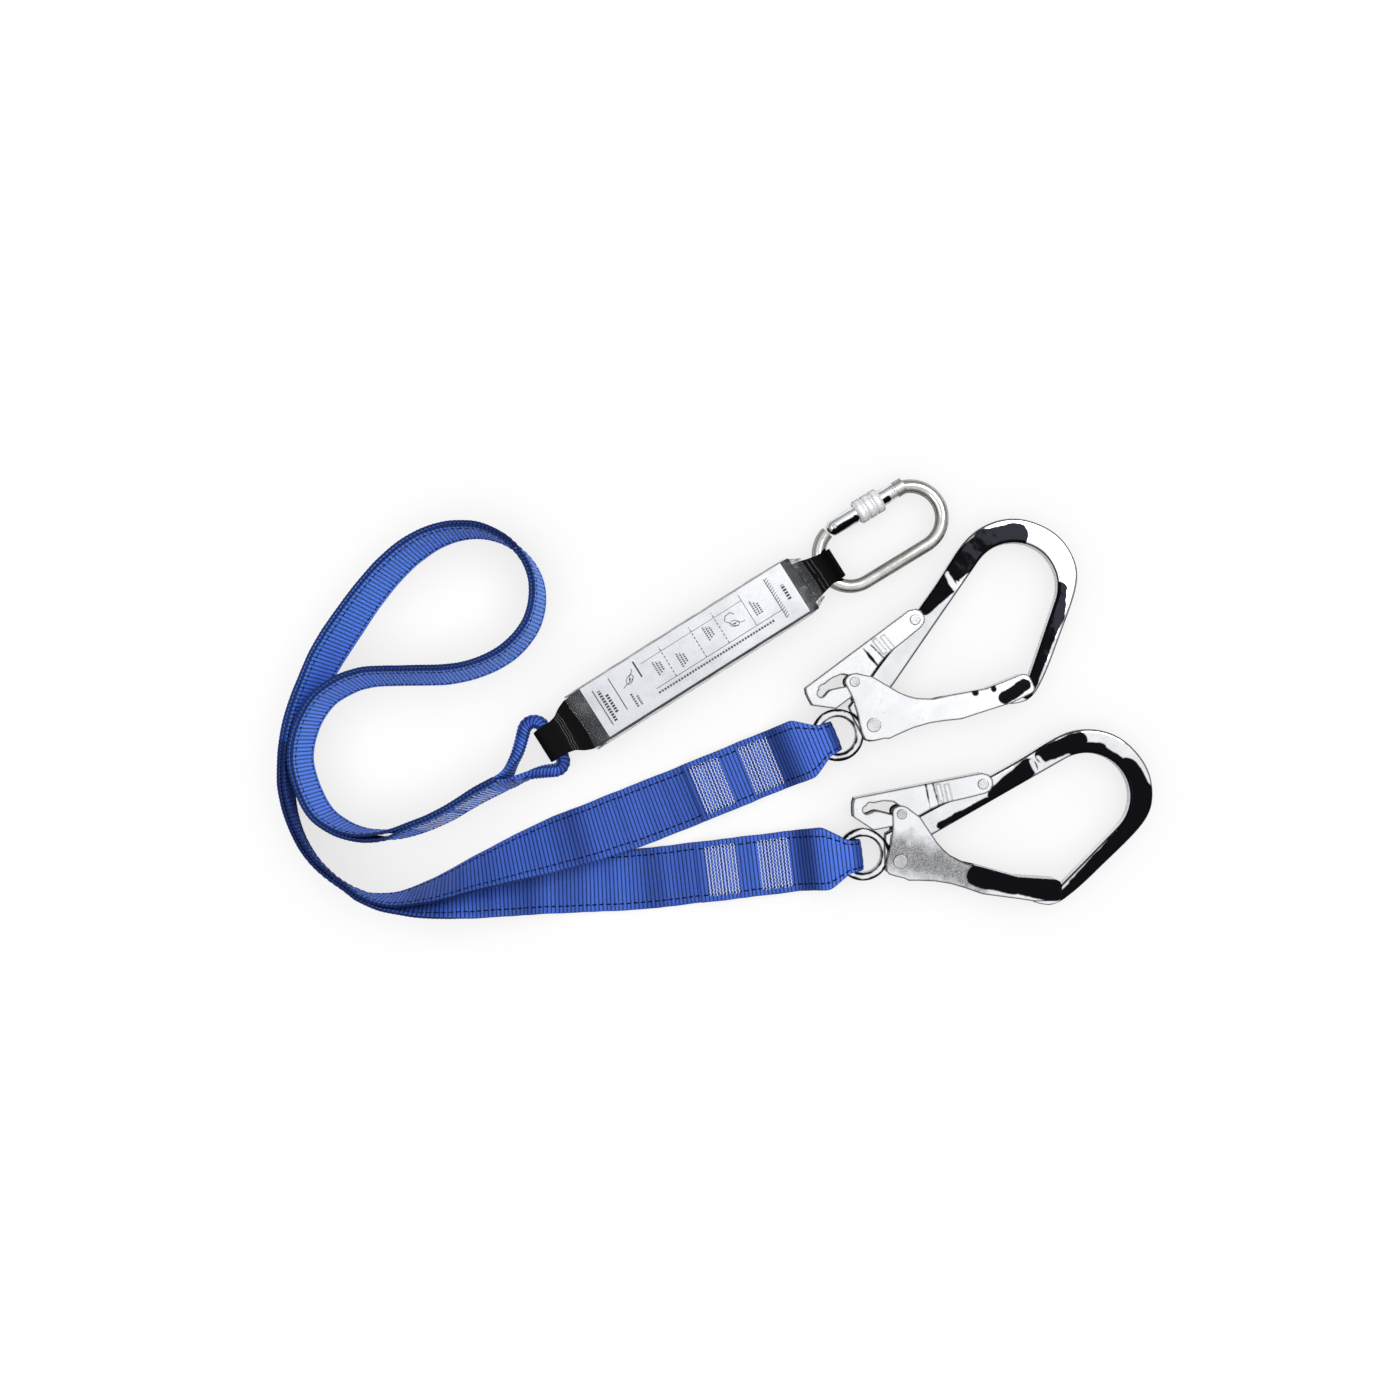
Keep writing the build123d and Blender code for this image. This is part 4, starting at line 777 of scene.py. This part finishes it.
    def edge_stitching(self):
        """Dashes of thread along both edges of both faces."""
        bag = MeshBag()
        pitch, length = 5.0, 3.2
        for face in (1, -1):
            for edge in (1, -1):
                for first in np.arange(4.0, self.length - 4, pitch):
                    at = first + np.array((0.0, 0.25, length - 0.25, length))
                    centre, width, normal, past = self.sample(at)
                    share = self.width_share(past)
                    sideways, off_face = self.wander(at)
                    spread = edge * EDGE_SEAM * share + sideways
                    offset = face * np.array((0.8, 1.08, 1.08, 0.8)) + off_face
                    offset = offset + gather_curl(1 - share, EDGE_SEAM / (WEB_W / 2))
                    points = centre + width * spread[:, None] + normal * offset[:, None]
                    points[:, 2] = np.maximum(points[:, 2], 0.2)
                    bag.thread(points, (0.3, 0.55, 0.55, 0.3), flat=0.7, up=normal[0])
        return bag.object(f"leg_{self.letter}_edge_stitching")

    def sewn_block(self, bag, at):
        """Rows of zigzag thread on the upper ply. Thread dives between the ribs at each turn."""
        rows, across, along = 10, 36.5, 23.5
        zigzag, swing = 1.35, 0.48
        rise = 15.903           # climb of the rows over the bend
        seed = self.seed + int(at)
        origin = self.start + self.direction * at
        origin[2] = FLOOR_GAP + 2 * PLY_T + 0.35
        left = np.array((-self.direction[1], self.direction[0], 0.0))
        for i in range(rows):
            length = across + 0.8 * math.sin(i * 2.1 + seed)
            turns = int(length / zigzag)
            y = (np.arange(turns + 1) / turns - 0.5) * length
            x = np.where(np.arange(turns + 1) % 2, swing, -swing) + 0.12 * drift(y, seed + i, 9.0)
            x = x + (i + 0.5) * along / rows - along / 2
            # a high point halfway between each two turns
            local = np.empty((2 * turns + 1, 3))
            local[::2] = np.column_stack([x, y, np.full(len(x), 0.05)])
            local[1::2] = (local[:-1:2] + local[2::2]) / 2
            local[1::2, 2] = 0.42
            points = origin + np.outer(local[:, 0], self.direction) + np.outer(local[:, 1], left)
            past = local[:, 0] + at
            points[:, 2] += local[:, 2] + self.flat_lift(past)
            points[:, 2] += rise * smooth_step(past, self.bend_from, self.bend_to)
            bag.thread(points, THREAD_R)


leg_a = Leg("a", RUN_A, side=-1, fold_end=16.4, sewn_at=(32.0, 71.0), seed=11)
leg_b = Leg("b", RUN_B, side=1, fold_end=31.3, sewn_at=(50.0, 89.0), seed=29)
strands = [leg.strand() for leg in (leg_a, leg_b)]
dashes = [leg.edge_stitching() for leg in (leg_a, leg_b)]
dress(strands[0], blue_upper)
dress(strands[1], blue_lower)
for obj in dashes:
    dress(obj, navy_thread)
for objects in (strands, dashes):
    for obj, leg in zip(objects, (leg_a, leg_b)):
        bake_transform(obj)
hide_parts("leg_a_webbing", "leg_a_tail")
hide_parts("leg_b_webbing", "leg_b_tail")

for leg in (leg_a, leg_b):
    bag = MeshBag()
    for at in leg.sewn_at:
        leg.sewn_block(bag, at)
    dress(bag.object(f"leg_{leg.letter}_sewn_blocks"), white_thread,
          ride=leg.end_node, replaces=[leg.end_node + "_stitching"])


def eye_sewn_rows():
    """Two blocks of rows behind the lanyard's eye, on the outer face of leg a."""
    bag = MeshBag()
    odd = np.arange(37) % 2
    for block_start in (2.0, 35.0):
        for i in range(11):
            y = (np.arange(37) / 36 - 0.5) * (34.0 + 2.0 * math.sin(i * 1.9))
            at = block_start + 5.0 + i * 2.6 + 0.1 * y + np.where(odd, 0.2, -0.2)
            centre, width, normal, _ = leg_a.sample(np.maximum(at, 0.2))
            points = centre + width * y[:, None] - normal * np.where(odd, 1.28, 1.2)[:, None]
            bag.thread(points, THREAD_R, up=-normal[0])
    return bag.object("eye_sewn_rows")


dress(eye_sewn_rows(), white_thread, ride="lanyard_coil",
      replaces=["eye_stitching"])


# ------------------------------------------------------------------ gathered eye of the lanyard
def eye_arc(y, radius, start, end, steps):
    """Arc that reaches the absorber's eye tip at this y of the absorber; angles in degrees."""
    centre = on_absorber((LANYARD_EYE_X - radius, y, 0))
    angles = [math.radians(start + (end - start) * i / steps) for i in range(steps + 1)]
    return [(centre[0] + radius * math.cos(a), centre[1] + radius * math.sin(a), 12.1,
             10.4, 9.8, 0, 2.2) for a in angles]


def eye_line():
    """x, y, z, width, thickness, lean, squareness of the outline (2 is an ellipse)."""
    turn = math.degrees(ABSORBER_TURN)
    return [
        (*leg_b.rows[0, :3], 44.6, 2.1, -12, 7.0),
        (-139.9, -53.6, 20.4, 33.0, 3.6, -9, 5.0),
        (-136.2, -45.6, 16.8, 20.0, 6.2, -6, 3.4),
        (-132.6, -36.6, 14.0, 13.0, 8.6, -4, 2.6),
        *eye_arc(13.0, 7.6, 165, turn, 9),
        *[(*on_absorber((LANYARD_EYE_X, y, ABSORBER_Z)), 10.0, 9.4, 0, 2.2) for y in (6.5, 0, -6.5)],
        *eye_arc(-13.0, 6.6, turn, -84, 8),
        (-114.5, -52.4, 13.0, 11.4, 9.2, 0, 2.4),
        (-122.5, -54.2, 15.2, 16.0, 7.4, 5, 3.0),
        (-130.5, -57.2, 18.6, 27.0, 4.8, 8, 4.4),
        (-137.4, -60.4, 20.8, 37.0, 3.0, 10, 5.6),
        (*leg_a.rows[0, :3], 44.6, 2.1, 12, 7.0),
    ]


# Lengthwise pleats in the roll: angle round it, angular width, depth.
PLEATS = ((0.9, 0.34, 0.9), (2.35, 0.26, 0.6), (4.1, 0.3, 0.8), (5.5, 0.25, 0.5))


def lanyard_eye():
    """Webbing rolled together where it passes through the absorber's eye."""
    line = spline(eye_line(), 1.6)
    lengths = distances(line[:, :3])
    ribs = int(lengths[-1] / 2.5)
    pitch = lengths[-1] / ribs
    at = np.arange(ribs * 8 + 1) / 8.0 * pitch
    line = np.stack([np.interp(at, lengths, column) for column in line.T], -1)
    tangent = np.gradient(line[:, :3], axis=0)
    leave = unit(leg_b.rows[0, :3] - leg_b.rows[3, :3])
    tangent[0], tangent[-1] = leave, -leave
    tangent[:, 2] = 0
    width, normal = leaning(unit(tangent), line[:, 5])
    sides = 48
    angle = np.arange(sides) * 2 * math.pi / sides
    power = 2 / line[:, 6][:, None]
    out_x = np.sign(np.cos(angle)) * np.abs(np.cos(angle)) ** power
    out_y = np.sign(np.sin(angle)) * np.abs(np.sin(angle)) ** power
    # ribs run straight across where it is flat and spiral where it is rolled
    rolled = (1 - smooth_step(line[:, 3], 14, 36))[:, None]
    ridge = np.abs(np.sin(math.pi * (at[:, None] / pitch + rolled * angle * 2 / math.pi))) ** 0.8
    pleat = np.zeros_like(ridge)
    for place, spread, depth in PLEATS:
        away = angle - place - 0.35 * np.sin(at[:, None] / 17.0)
        away = (away + math.pi) % (2 * math.pi) - math.pi
        pleat += depth * np.exp(-(away / spread) ** 2)
    relief = (0.34 + 0.42 * rolled) * (ridge - 0.6) - 1.15 * rolled * pleat
    x = out_x * (line[:, 3][:, None] / 2 + relief * (0.3 + 0.7 * rolled))
    y = out_y * (line[:, 4][:, None] / 2 + relief)
    points = line[:, None, :3] + width[:, None] * x[..., None] + normal[:, None] * y[..., None]
    points[..., 2] = np.maximum(points[..., 2], 0.05)
    # painted light on one side of the roll (lean), painted shade in the pleats (rib) and painted
    # sheen along it (band)
    lean = 0.2 + 0.75 * rolled * np.cos(angle - 1.75) + 0.15 * drift(at, 9, 19.0)[:, None]
    return ribbed_object("lanyard_eye_roll", points, at, angle * 6,
                         rib=np.clip(ridge * (1 - 0.8 * rolled * pleat), 0, 1),
                         band=np.clip(0.62 + 0.3 * drift(at, 5, 23.0), 0, 1),
                         lean=np.clip(lean, 0, 0.8))


dress(lanyard_eye(), blue_upper, ride="lanyard_coil", replaces=["lanyard_eye"])


# ------------------------------------------------------------------ absorber webbing
def strip(name, profile, half, thick, seed, rib, across, relief=0.09):
    """Ribbed strip along a side profile of (x, z) or (x, z, half width) in the absorber's frame."""
    profile = np.asarray(profile, float)
    lengths = distances(profile[:, :2])
    ribs = int(lengths[-1] / rib)
    at = (np.arange(ribs)[:, None] + np.array((0.0, 0.16, 0.5, 0.84))[None]).ravel() * rib
    height = np.tile(np.array((0.0, 0.75, 1.0, 0.75)), ribs)
    x, z = (np.interp(at, lengths, profile[:, k]) for k in (0, 1))
    halves = profile[:, 2] if profile.shape[1] > 2 else np.full(len(profile), half)
    halves = np.interp(at, lengths, halves)
    slope = unit(np.stack([np.gradient(x), np.gradient(z)], -1))
    wide, deep = ply_section(np.linspace(-1, 1, across) * 0.96, (0.985, 1.0, 0.985))
    offset = deep * thick / 2 + np.sign(deep) * relief * (height[:, None] - 0.6)
    y = wide * halves[:, None] + (0.15 * drift(at, seed, 33.0))[:, None]
    points = np.stack([x[:, None] - slope[:, 1:] * offset, y,
                       z[:, None] + slope[:, :1] * offset], -1)
    # the band attribute carries painted sheen that comes and goes along the strip
    return ribbed_object(name, on_absorber(points), at, wide * half, rib=height,
                         band=0.5 + 0.4 * drift(at, seed + 1, 41.0))


def folded_pack():
    """Tear webbing in seven runs; the ends near the top reach further."""
    pitch = 2.7
    right = [70] * 6 + [84]
    left = [-70] * 5 + [-84] * 2
    heights = [ABSORBER_Z - 1.2 + (i - 3) * pitch for i in range(7)]
    profile = []
    for i in range(7):
        sign = -1 if i % 2 else 1
        first, last = (left[i], right[i])[::sign]
        profile += [(first + (last - first) * k / 30, heights[i] + 0.12 * math.sin(k * 0.9 + i))
                    for k in range(31)]
        if i < 6:
            middle = (heights[i] + heights[i + 1]) / 2
            profile += [(last + sign * pitch / 2 * math.sin(math.pi * k / 10),
                         middle - pitch / 2 * math.cos(math.pi * k / 10)) for k in range(1, 10)]
    return strip("absorber_folded_pack", profile, half=20.6, thick=1.9, seed=3, rib=1.9, across=6)


dress(folded_pack(), tear_web, ride="absorber", replaces=["absorber_tear_webbing"])

backup_profile = [(-92.5, 18.6), (-92.0, 20.4)]
backup_profile += [(-90.5 + 184 * k / 60, 21.3 + 0.12 * math.sin(k * 0.5)) for k in range(61)]
backup_profile += [(95.2, 20.4), (95.8, 18.6)]
backup_ply = strip("absorber_backup_ply", backup_profile, half=21.6, thick=1.7, seed=5, rib=1.7,
                   across=9)
dress(backup_ply, tear_web, ride="absorber", replaces=["absorber_backup_strap"])

# ------------------------------------------------------------------ label under the film
LABEL_X0, LABEL_X1 = -82.7, 89.0
LABEL_Y, LABEL_HALF_W = 0.8, 20.5
# The marks are drawn about their own middle, then stretched along the card and thickened.
DRAWING_MIDDLE, DRAWING_STRETCH, LINE_WEIGHT = 1.75, 1.0765, 1.5


def card_z(x, y):
    """Gently cockled card, lower along its long edges."""
    edge = np.clip((np.abs(y - LABEL_Y) - 18) / 2.4, 0, 1)
    return (23.0 + 0.13 * np.sin(x / 13.0 + y / 19.0) + 0.1 * np.sin(x / 31.0 - y / 11.0)
            - 0.35 * edge ** 2)


def label_card():
    nx, ny, thick = 86, 24, 0.3
    x, y = np.meshgrid(np.linspace(LABEL_X0, LABEL_X1, nx),
                       np.linspace(LABEL_Y - LABEL_HALF_W, LABEL_Y + LABEL_HALF_W, ny),
                       indexing="ij")
    top = np.stack([x, y, card_z(x, y)], -1).reshape(-1, 3)
    under = nx * ny
    faces = []
    for i in range(nx - 1):
        for j in range(ny - 1):
            a = i * ny + j
            b = a + under
            faces.append([a, a + ny, a + ny + 1, a + 1])
            faces.append([b, b + 1, b + ny + 1, b + ny])
    grid = np.arange(under).reshape(nx, ny)
    rim = np.concatenate([grid[:, 0], grid[-1, 1:], grid[-2::-1, -1], grid[0, -2:0:-1]]).tolist()
    for p, q in zip(rim, rim[1:] + rim[:1]):
        faces.append([p, p + under, q + under, q])
    points = on_absorber(np.concatenate([top, top - np.array((0, 0, thick))]))
    return mesh_object("absorber_label_card", points, faces, sharp=40)


class Ink(MeshBag):
    """Flat printed marks laid on the card."""
    def line(self, x0, y0, x1, y1, weight):
        length = math.hypot(x1 - x0, y1 - y0)
        t = np.linspace(0, 1, max(2, int(length / 3)) + 1)
        x = (LABEL_X0 + LABEL_X1) / 2 + (x0 + (x1 - x0) * t - DRAWING_MIDDLE) * DRAWING_STRETCH
        y = LABEL_Y + y0 + (y1 - y0) * t
        half = weight * LINE_WEIGHT / 2
        side_x, side_y = -(y1 - y0) / length * half, (x1 - x0) / length * half
        z = card_z(x, y) + 0.08
        left = np.stack([x + side_x, y + side_y, z], -1)
        right = np.stack([x - side_x, y - side_y, z], -1)
        down = np.array((0, 0, 0.09))
        rings = np.stack([left, right, right - down, left - down], 1)
        self.add(on_absorber(rings), tube_faces(len(x), 4, flip=True))

    def polyline(self, points, weight):
        for p, q in zip(points, points[1:]):
            self.line(*p, *q, weight)

    def dashes(self, x0, y0, x1, y1, weight, dash, gap):
        length = math.hypot(x1 - x0, y1 - y0)
        at = 0.0
        while at < length:
            f0, f1 = at / length, min(at + dash, length) / length
            self.line(x0 + (x1 - x0) * f0, y0 + (y1 - y0) * f0,
                      x0 + (x1 - x0) * f1, y0 + (y1 - y0) * f1, weight)
            at += dash + gap

    def strap_drawing(self, x, y, size, turn):
        """A small outline drawing of a strap and ring, with no meaning of its own."""
        oval = [(math.cos(a), math.sin(a) * 0.62) for a in np.linspace(0, 2 * math.pi, 13)]
        for outline, weight in (
                (oval, 0.28),
                ([(-0.4, -0.2), (0.5, 0.3), (1.5, 0.15), (2.1, 0.5)], 0.3),
                ([(-1.9, 0.5), (-0.9, 0.1), (-0.1, -0.45), (0.9, -0.5)], 0.3),
                ([(-0.2, 0.05), (0.3, -0.15)], 0.5)):
            spun = [turned(*point, turn) for point in outline]
            self.polyline([(x + size * px, y + size * py) for px, py in spun], weight)


def label_print():
    """Bars, dashed text rows and two small drawings, in dark and pale ink."""
    dark, pale = Ink(), Ink()
    dark.line(-71.5, -14.5, -71.5, 14.5, 0.5)
    dark.line(-58.0, -10.5, -58.0, 16.0, 0.45)
    for x, y0, y1 in ((-68.2, -13, 12), (-64.6, -8, 7)):
        dark.dashes(x, y0, x, y1, 1.6, dash=1.5, gap=0.7)
    dark.strap_drawing(-46.0, 7.0, size=3.6, turn=0.7)
    dark.line(-38.0, 4.0, -38.0, 17.0, 0.8)
    pale.dashes(-50.5, -13, -50.5, -2, 1.1, dash=1.3, gap=0.6)
    pale.dashes(-47.5, -13, -47.5, -5, 1.1, dash=1.0, gap=0.6)
    dark.line(-34.0, -9.0, 66.0, -9.0, 0.28)
    pale.dashes(-34.0, -12.5, 58.0, -12.5, 1.1, dash=1.5, gap=0.7)
    for x in (-18.0, 6.0, 24.0):
        dark.dashes(x, -9.0, x, 16.5, 0.4, dash=1.9, gap=1.2)
    for x, y in ((-27.0, 2.0), (-10.5, -2.0), (14.0, 4.0)):
        for i in range(3):
            pale.dashes(x + i * 2.1, y - 4 + i, x + i * 2.1, y + 7 - i, 0.9, dash=1.1, gap=0.6)
    dark.strap_drawing(34.0, 1.0, size=3.4, turn=-0.5)
    pale.polyline([(29, 6), (31, 9), (35, 9.5), (37, 7)], 0.4)
    dark.line(46.0, -9.0, 46.0, 17.0, 0.28)
    dark.line(-34.0, 12.5, 46.0, 12.5, 0.22)
    for i in range(3):
        pale.dashes(50.0 + i * 2.0, -3, 50.0 + i * 2.0, 9 - i * 2, 0.9, dash=1.1, gap=0.6)
    dark.line(66.0, -16.0, 66.0, 17.0, 0.35)
    for i in range(16):
        dark.line(66.0, -15.5 + 2.05 * i, 68.6, -14.2 + 2.05 * i, 0.35)
    dark.dashes(74.5, -5.5, 74.5, 6.5, 1.8, dash=1.5, gap=0.8)
    return dark, pale


dress(label_card(), card, ride="absorber", replaces=["absorber_label"])
dark_marks, pale_marks = label_print()
dress(dark_marks.object("absorber_label_print"), ink, ride="absorber")
dress(pale_marks.object("absorber_label_print_pale"), ink_pale, ride="absorber")

# ------------------------------------------------------------------ film sleeve
# x along the absorber, half width, half height
FILM_PROFILE = np.array((
    (-95.5, 22.4, 10.4), (-93.5, 22.0, 9.9), (-90, 22.0, 10.6), (-86, 22.2, 11.8),
    (-80, 22.5, 12.1), (0, 22.6, 12.1), (80, 22.5, 12.1), (88, 22.2, 11.9), (91, 21.8, 11.2),
    (94, 20.9, 10.0), (97, 19.4, 8.8), (100, 17.6, 8.0), (103.5, 16.2, 8.3),
))


def film_outline(half_w, half_h, radius=2.9, per_corner=12):
    """Rounded rectangle of (y, z) points, its straight sides split into short steps."""
    corners = []
    for i, (sign_y, sign_z) in enumerate(((1, 1), (-1, 1), (-1, -1), (1, -1))):
        for k in range(per_corner):
            angle = math.radians(90 * i + 90 * k / (per_corner - 1))
            corners.append((sign_y * (half_w - radius) + radius * math.cos(angle),
                            ABSORBER_Z + sign_z * (half_h - radius) + radius * math.sin(angle)))
    corners = np.array(corners)
    outline = []
    for i, point in enumerate(corners):
        outline.append(point)
        if (i + 1) % per_corner == 0:
            span = corners[(i + 1) % len(corners)] - point
            steps = 16 if abs(span[0]) > abs(span[1]) else 8
            outline += [point + span * k / steps for k in range(1, steps)]
    return np.array(outline)


def film_sleeve():
    """A thin glossy skin, open and rippled at both ends."""
    stations = np.concatenate([np.linspace(-95.5, -82, 40), np.linspace(-81, 87, 112),
                               np.linspace(88, 103.5, 48)])
    rings = []
    for x in stations:
        half_w, half_h = (np.interp(x, FILM_PROFILE[:, 0], FILM_PROFILE[:, k]) for k in (1, 2))
        outline = film_outline(half_w, half_h)
        t = np.arange(len(outline)) / len(outline) * 2 * math.pi
        end = smooth_step(abs(x - 4.0 * (x > 0)), 80, 94)
        ripple = (end * (0.4 * np.sin(t * 17 + x * 0.22) + 0.28 * np.sin(t * 29 - x * 0.35 + 1.3))
                  + 0.10 * np.sin(t * 7 + x * 0.21) + 0.07 * np.sin(t * 13 - x * 0.37))
        outward = unit(((outline - (0, ABSORBER_Z)) / (half_w, half_h)) ** 3)
        outline = outline + outward * ripple[:, None]
        outline[:, 1] = np.clip(outline[:, 1], 0.06, 24.3)
        rings.append(np.column_stack([x + end * 0.7 * np.sin(t * 5 + 0.6), outline]))
    rings = np.array(rings)
    film = mesh_object("absorber_film", on_absorber(rings),
                       tube_faces(len(stations), rings.shape[1], caps=False, flip=True))
    skin = film.modifiers.new("skin", "SOLIDIFY")
    skin.thickness = 0.00035
    skin.offset = -1
    return film


dress(film_sleeve(), clear_film, ride="absorber", replaces=["absorber_sleeve"])

# ------------------------------------------------------------------ black sewn eyes
EYE_PLY_T = 2.2
# distance from the absorber's middle, half width
LANYARD_EYE_WIDTHS = [(70, 19.5), (88, 21.0), (98, 20.6), (104, 18.0), (109, 14.4), (114, 13.2),
                      (130, 12.6)]
KARABINER_EYE_WIDTHS = [(70, 17.0), (92, 17.2), (100, 15.6), (107, 13.6), (114, 12.0), (130, 11.4)]


def eye_profile(tip, inner_r, tip_z, widths):
    """Side profile from the pack out over the tip and back: x, z, half width."""
    side = math.copysign(1, tip)
    root = side * 75.0
    radius = inner_r + EYE_PLY_T / 2
    root_offset = EYE_PLY_T / 2 + 0.1

    def ply(up, steps):
        points = []
        for i in steps:
            f = i / 24
            ease = 3 * f * f - 2 * f ** 3
            points.append((root + side * (2 + (abs(tip - root) - 4) * f),
                           (ABSORBER_Z + up * root_offset) * (1 - ease)
                           + (tip_z + up * radius) * ease))
        return points

    profile = [(root, ABSORBER_Z + root_offset)] + ply(1, range(1, 25))
    profile += [(tip + side * radius * math.sin(math.pi * i / 28),
                 tip_z + radius * math.cos(math.pi * i / 28)) for i in range(29)]
    profile += ply(-1, range(24, 0, -1)) + [(root, ABSORBER_Z - root_offset)]
    return [(x, z, float(np.interp(abs(x), *zip(*widths)))) for x, z in profile]


def fold_threads(bag, profile, places, share, seed):
    """Raised lines across the upper ply of a black eye."""
    upper = np.asarray(profile)[:45]
    for place in places:
        x, z, half = upper[int(np.argmin(np.abs(upper[:, 0] - place)))]
        y = np.linspace(-1, 1, 24) * half * share
        wavy = x + 0.9 * np.sin(y / 9.0 + seed) + 0.3 * drift(y, seed, 11.0)
        bag.thread(on_absorber(np.stack([wavy, y, np.full(24, z + 1.12)], -1)), 0.2)


lanyard_profile = eye_profile(LANYARD_EYE_X, 6.6, ABSORBER_Z, LANYARD_EYE_WIDTHS)
karabiner_profile = eye_profile(KARABINER_EYE_X, 8.0, KARABINER_Z, KARABINER_EYE_WIDTHS)
for name, profile, half, seed, node in (
        ("absorber_eye_black", lanyard_profile, 20.0, 21, "absorber_eye_lanyard"),
        ("absorber_eye_karabiner_black", karabiner_profile, 17.0, 22, "absorber_eye_karabiner")):
    eye = strip(name, profile, half, EYE_PLY_T, seed, rib=1.2, across=11, relief=0.07)
    dress(eye, black_web, ride="absorber", replaces=[node])
bag = MeshBag()
fold_threads(bag, lanyard_profile, (-106.2, -108.2, -110.4), share=0.93, seed=1)
fold_threads(bag, karabiner_profile, (103.0, 106.5, 110.0), share=0.92, seed=2)
dress(bag.object("absorber_eye_fold_threads"), grey_thread, ride="absorber")

# ------------------------------------------------------------------ metal parts keep their CAD shapes
plain_steels = {"zinc_steel": zinc, "rivet_steel": rivet, "spring_steel": spring}
karabiner_steels = {"karabiner_gate": zinc_gate, "karabiner_gate_plunger": zinc_gate,
                    "karabiner_lock_sleeve": zinc_lock}


def steel_for(node, slot):
    if slot in hook_steels:
        return hook_steels[slot][node[5]]   # node names start with hook_a or hook_b
    if slot in plain_steels:
        return karabiner_steels.get(node, plain_steels[slot])
    return None


def soften_edges(obj, width):
    bevel = obj.modifiers.new("edges", "BEVEL")
    bevel.width = width
    bevel.segments = 3
    bevel.limit_method = "ANGLE"
    bevel.angle_limit = math.radians(38)
    bevel.use_clamp_overlap = True
    bevel.harden_normals = False
    normals = obj.modifiers.new("normals", "WEIGHTED_NORMAL")
    normals.keep_sharp = False
    normals.weight = 80


cad_slots = {part["node"]: part["material_slot"] for part in frame["record"].get("subparts", [])}
for node, obj in frame["nodes"].items():
    slot = cad_slots.get(node)
    steel = steel_for(node, slot)
    if steel is None or obj.hide_render:
        continue
    dress(obj, steel)
    weld = obj.modifiers.new("weld", "WELD")
    weld.merge_threshold = 0.000004
    obj.data.polygons.foreach_set("use_smooth", [True] * len(obj.data.polygons))
    if "spring" in node or "lock_sleeve" in node:
        obj.data.set_sharp_from_angle(angle=math.radians(35))
    else:
        soften_edges(obj, width=0.00085 if slot == "sheet_steel" else 0.00035)

# ------------------------------------------------------------------ studio, metres
scene = bpy.context.scene


def floor_material():
    """White paper to the lights. The camera sees through it, with soft contact shade,
    so a piece that a pose takes below the floor stays in sight."""
    k = Surface("floor_paper")
    k.set(Base_Color=k.mix(k.noise(3.0, 2.0), (0.93, 0.93, 0.935), (0.95, 0.95, 0.95)),
          Roughness=0.9, Specular_IOR_Level=0.1)
    to_camera = k.node("LightPath").outputs["Is Camera Ray"]
    contact = k.node("AmbientOcclusion", {"Distance": 0.045}, samples=8).outputs["AO"]
    clear = k.node("BsdfTransparent", {0: k.ramp(contact, [(0.0, 0.7), (0.95, 1.0)])}).outputs[0]
    paper = k.node("MixShader", {0: to_camera, 1: k.shader.outputs[0], 2: clear})
    k.feed(k.output.inputs[0], paper.outputs[0])
    return k.material


half_floor = 14.0
mesh = bpy.data.meshes.new("floor")
mesh.from_pydata([(x * half_floor, y * half_floor, 0)
                  for x, y in ((-1, -1), (1, -1), (1, 1), (-1, 1))], [], [(0, 1, 2, 3)])
floor = bpy.data.objects.new("floor", mesh)
scene.collection.objects.link(floor)
floor.data.materials.append(floor_material())

# Brightness of the surroundings by height, from straight down (0) to straight up (1).
SKY = [(0.0, 0.85), (0.495, 0.75), (0.505, 0.14), (0.60, 0.2), (0.67, 0.72), (0.73, 0.42),
       (0.79, 0.34), (0.85, 0.95), (1.0, 1.0)]
world = bpy.data.worlds.new("studio")
scene.world = world
world.use_nodes = True
k = Nodes(world.node_tree)
output = k.node("OutputWorld")
height = k.node("MapRange", {0: k.split(k.coords("Generated"))[2], "From Min": -1}).outputs[0]
sky = k.node("Background", {0: k.ramp(height, SKY, blue=1.01), "Strength": 1.0}).outputs[0]
white = k.node("Background", {0: (1.0, 1.0, 1.0), "Strength": 1.0}).outputs[0]
to_camera = k.node("LightPath").outputs["Is Camera Ray"]
seen = k.node("MixShader", {0: to_camera, 1: sky, 2: white}).outputs[0]
k.feed(output.inputs[0], seen)


def area_light(name, location, size, power):
    """A square light aimed at the origin."""
    light = bpy.data.lights.new(name, "AREA")
    light.shape = "SQUARE"
    light.size = size
    light.energy = power
    obj = bpy.data.objects.new(name, light)
    scene.collection.objects.link(obj)
    obj.location = location
    obj.rotation_mode = "QUATERNION"
    obj.rotation_quaternion = (-Vector(location)).to_track_quat("-Z", "Y")


area_light("key", location=(0.75, 0.7, 1.7), size=1.0, power=17)
area_light("fill", location=(-0.9, -0.3, 1.7), size=1.2, power=5)

# The camera looks straight down on the layout's own origin.
lens = bpy.data.cameras.new("camera")
lens.sensor_width = 36
lens.lens = 39.96
lens.clip_start, lens.clip_end = 0.01, 50
camera = bpy.data.objects.new("camera", lens)
scene.collection.objects.link(camera)
camera.location = (*to_metres((0, 0, 0))[:2], 1.150)
scene.camera = camera
scene.view_settings.view_transform = "Standard"
scene.view_settings.look = "None"
scene.view_settings.exposure = 0.0
